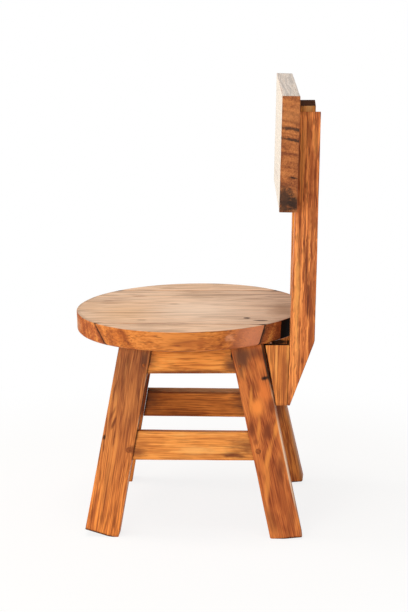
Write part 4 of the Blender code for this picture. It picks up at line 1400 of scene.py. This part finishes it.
def screwTree():
    tree, sockets = newTree("panHeadScrews", {
        "headRadius": ("NodeSocketFloat", screws["headRadius"]),
        "headHeight": ("NodeSocketFloat", screws["headHeight"]),
        "steel": ("NodeSocketMaterial", None),
    })

    def shifted(geometry, height, **more):
        inputs = {"Geometry": geometry, "Translation": (0, 0, height), **more}
        return addNode(tree, "GeometryNodeTransform", inputs).outputs["Geometry"]

    given = addNode(tree, "NodeGroupInput").outputs
    sizes = {"Vertices": 32, "Fill Segments": 6, "Radius": 1.0, "Depth": 1.0}
    head = addNode(tree, "GeometryNodeMeshCylinder", sizes).outputs["Mesh"]
    domed = crown(tree, head, screws["crown"] / screws["headHeight"], nearTop)
    reach = {"X": given["headRadius"], "Y": given["headRadius"], "Z": given["headHeight"]}
    size = addNode(tree, "ShaderNodeCombineXYZ", reach).outputs["Vector"]
    sized = shifted(domed, screws["headHeight"] / 2, Scale=size)
    cross = addNode(tree, "GeometryNodeMeshBoolean", {"Mesh 1": sized}, operation="DIFFERENCE")
    long, narrow = screws["headRadius"] * screws["slotReach"], screws["slot"]
    for width, depth in ((long, narrow), (narrow, long)):
        bar = addNode(tree, "GeometryNodeMeshCube", {"Size": (width, depth, 2 * screws["slotDepth"])})
        feed(tree, cross.inputs["Mesh 2"], shifted(bar.outputs["Mesh"], screws["headHeight"] + screws["crown"]))
    shank = addNode(tree, "GeometryNodeMeshCone", {
        "Vertices": 20, "Radius Top": screws["shank"], "Radius Bottom": screws["tip"], "Depth": screws["length"],
    })
    both = addNode(tree, "GeometryNodeJoinGeometry")
    for geometry in (cross.outputs["Mesh"], shifted(shank.outputs["Mesh"], -screws["length"])):
        feed(tree, both.inputs["Geometry"], geometry)
    widths = addNode(tree, "ShaderNodeCombineXYZ", {key: 1.0 for key in "XYZ"})
    standOnPoints(tree, given["points"], both.outputs["Geometry"], given["steel"], widths.outputs["Vector"])
    return tree, sockets


def addScrews():
    spots = []
    nodes = [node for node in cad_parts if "_screw_" in node]
    for node in nodes:
        low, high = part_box(node)
        middle = (low + high) / 2
        under = node.startswith("seat")
        facing = Vector((0, 0, -1)) if under else Vector((0, 1, 0))
        seatAt = Vector((middle.x, middle.y, low.z + screws["headBed"]))
        if not under:
            shift = rearShift(node.rsplit("_", 1)[1], middle.z)
            seatAt = Vector((middle.x, high.y - screws["headBed"] + shift, middle.z))
        spots.append({"at": seatAt, "facing": facing, "radius": 1.0, "length": 1.0})
    holder = makePoints("screws_steel", spots)
    tree, sockets = screwTree()
    material = screwSteel()
    values = {sockets[key]: screws[key] for key in ("headRadius", "headHeight")}
    runTree(holder, tree, {**values, sockets["steel"]: material})
    dress(holder, material, "screw_steel", *nodes)


addScrews()
print("pegs and screws set")


# floor, light and white surroundings
studio = {
    "surround": 0.35,
    "lamps": {
        "key": {"at": (3.0, -1.0, 1.0), "size": 1.4, "power": 46.0},
        "side": {"at": (-0.3, -2.4, 1.1), "size": 1.2, "power": 26.0},
        "top": {"at": (0.3, -0.4, 2.6), "size": 1.6, "power": 30.0},
    },
    "aim": 0.25,
    "floorHalf": 8.0,
    "floorTone": (0.93, 0.88, 0.82, 1),
    "floorShow": 0.17,
    "floorNear": 0.3,
    "floorReach": 0.62,
}
white = (1, 1, 1, 1)


def seenRay(tree):
    path = addNode(tree, "ShaderNodeLightPath").outputs
    seen = mathOp(tree, "MAXIMUM", path["Is Camera Ray"], path["Is Glossy Ray"])
    return mathOp(tree, "MAXIMUM", seen, path["Is Transmission Ray"])


def emptyTree(owner):
    owner.use_nodes = True
    owner.node_tree.nodes.clear()
    return owner.node_tree


def mixShaders(tree, share, first, second):
    inputs = {0: share, 1: first.outputs[0], 2: second.outputs[0]}
    return addNode(tree, "ShaderNodeMixShader", inputs).outputs[0]


def addRoom():
    scene.world = bpy.data.worlds.new("white_room")
    tree = emptyTree(scene.world)
    lit = addNode(tree, "ShaderNodeBackground", {"Color": white, "Strength": studio["surround"]})
    plain = addNode(tree, "ShaderNodeBackground", {"Color": white})
    addNode(tree, "ShaderNodeOutputWorld", {"Surface": mixShaders(tree, seenRay(tree), lit, plain)})


def addFloor():
    bm = bmesh.new()
    bmesh.ops.create_grid(bm, x_segments=4, y_segments=4, size=studio["floorHalf"])
    mesh = bpy.data.meshes.new("floor")
    bm.to_mesh(mesh)
    bm.free()
    floor = bpy.data.objects.new("floor", mesh)
    scene.collection.objects.link(floor)
    material = bpy.data.materials.new("pale_floor")
    tree = emptyTree(material)
    matte = addNode(tree, "ShaderNodeBsdfDiffuse", {"Color": studio["floorTone"]})
    glow = addNode(tree, "ShaderNodeEmission", {"Color": white})
    spot = vectorOp(tree, "SUBTRACT", addNode(tree, "ShaderNodeTexCoord").outputs["Object"], seatCentre)
    far = vectorOp(tree, "LENGTH", spot)
    near = remap(tree, far, studio["floorNear"], studio["floorReach"], studio["floorShow"], 0.0, smooth=True)
    share = mathOp(tree, "MULTIPLY", seenRay(tree), mathOp(tree, "SUBTRACT", 1.0, near))
    addNode(tree, "ShaderNodeOutputMaterial", {"Surface": mixShaders(tree, share, matte, glow)})
    mesh.materials.append(material)


def addLamps():
    target = seatCentre + Vector((0, 0, studio["aim"]))
    for name, lamp in studio["lamps"].items():
        data = bpy.data.lights.new(name, "AREA")
        data.shape = "DISK"
        data.size = lamp["size"]
        data.energy = lamp["power"]
        holder = bpy.data.objects.new(name, data)
        scene.collection.objects.link(holder)
        spot = seatCentre + Vector(lamp["at"])
        holder.matrix_world = Matrix.Translation(spot) @ (target - spot).to_track_quat("-Z", "Y").to_matrix().to_4x4()


addRoom()
addFloor()
addLamps()
print("studio lit")
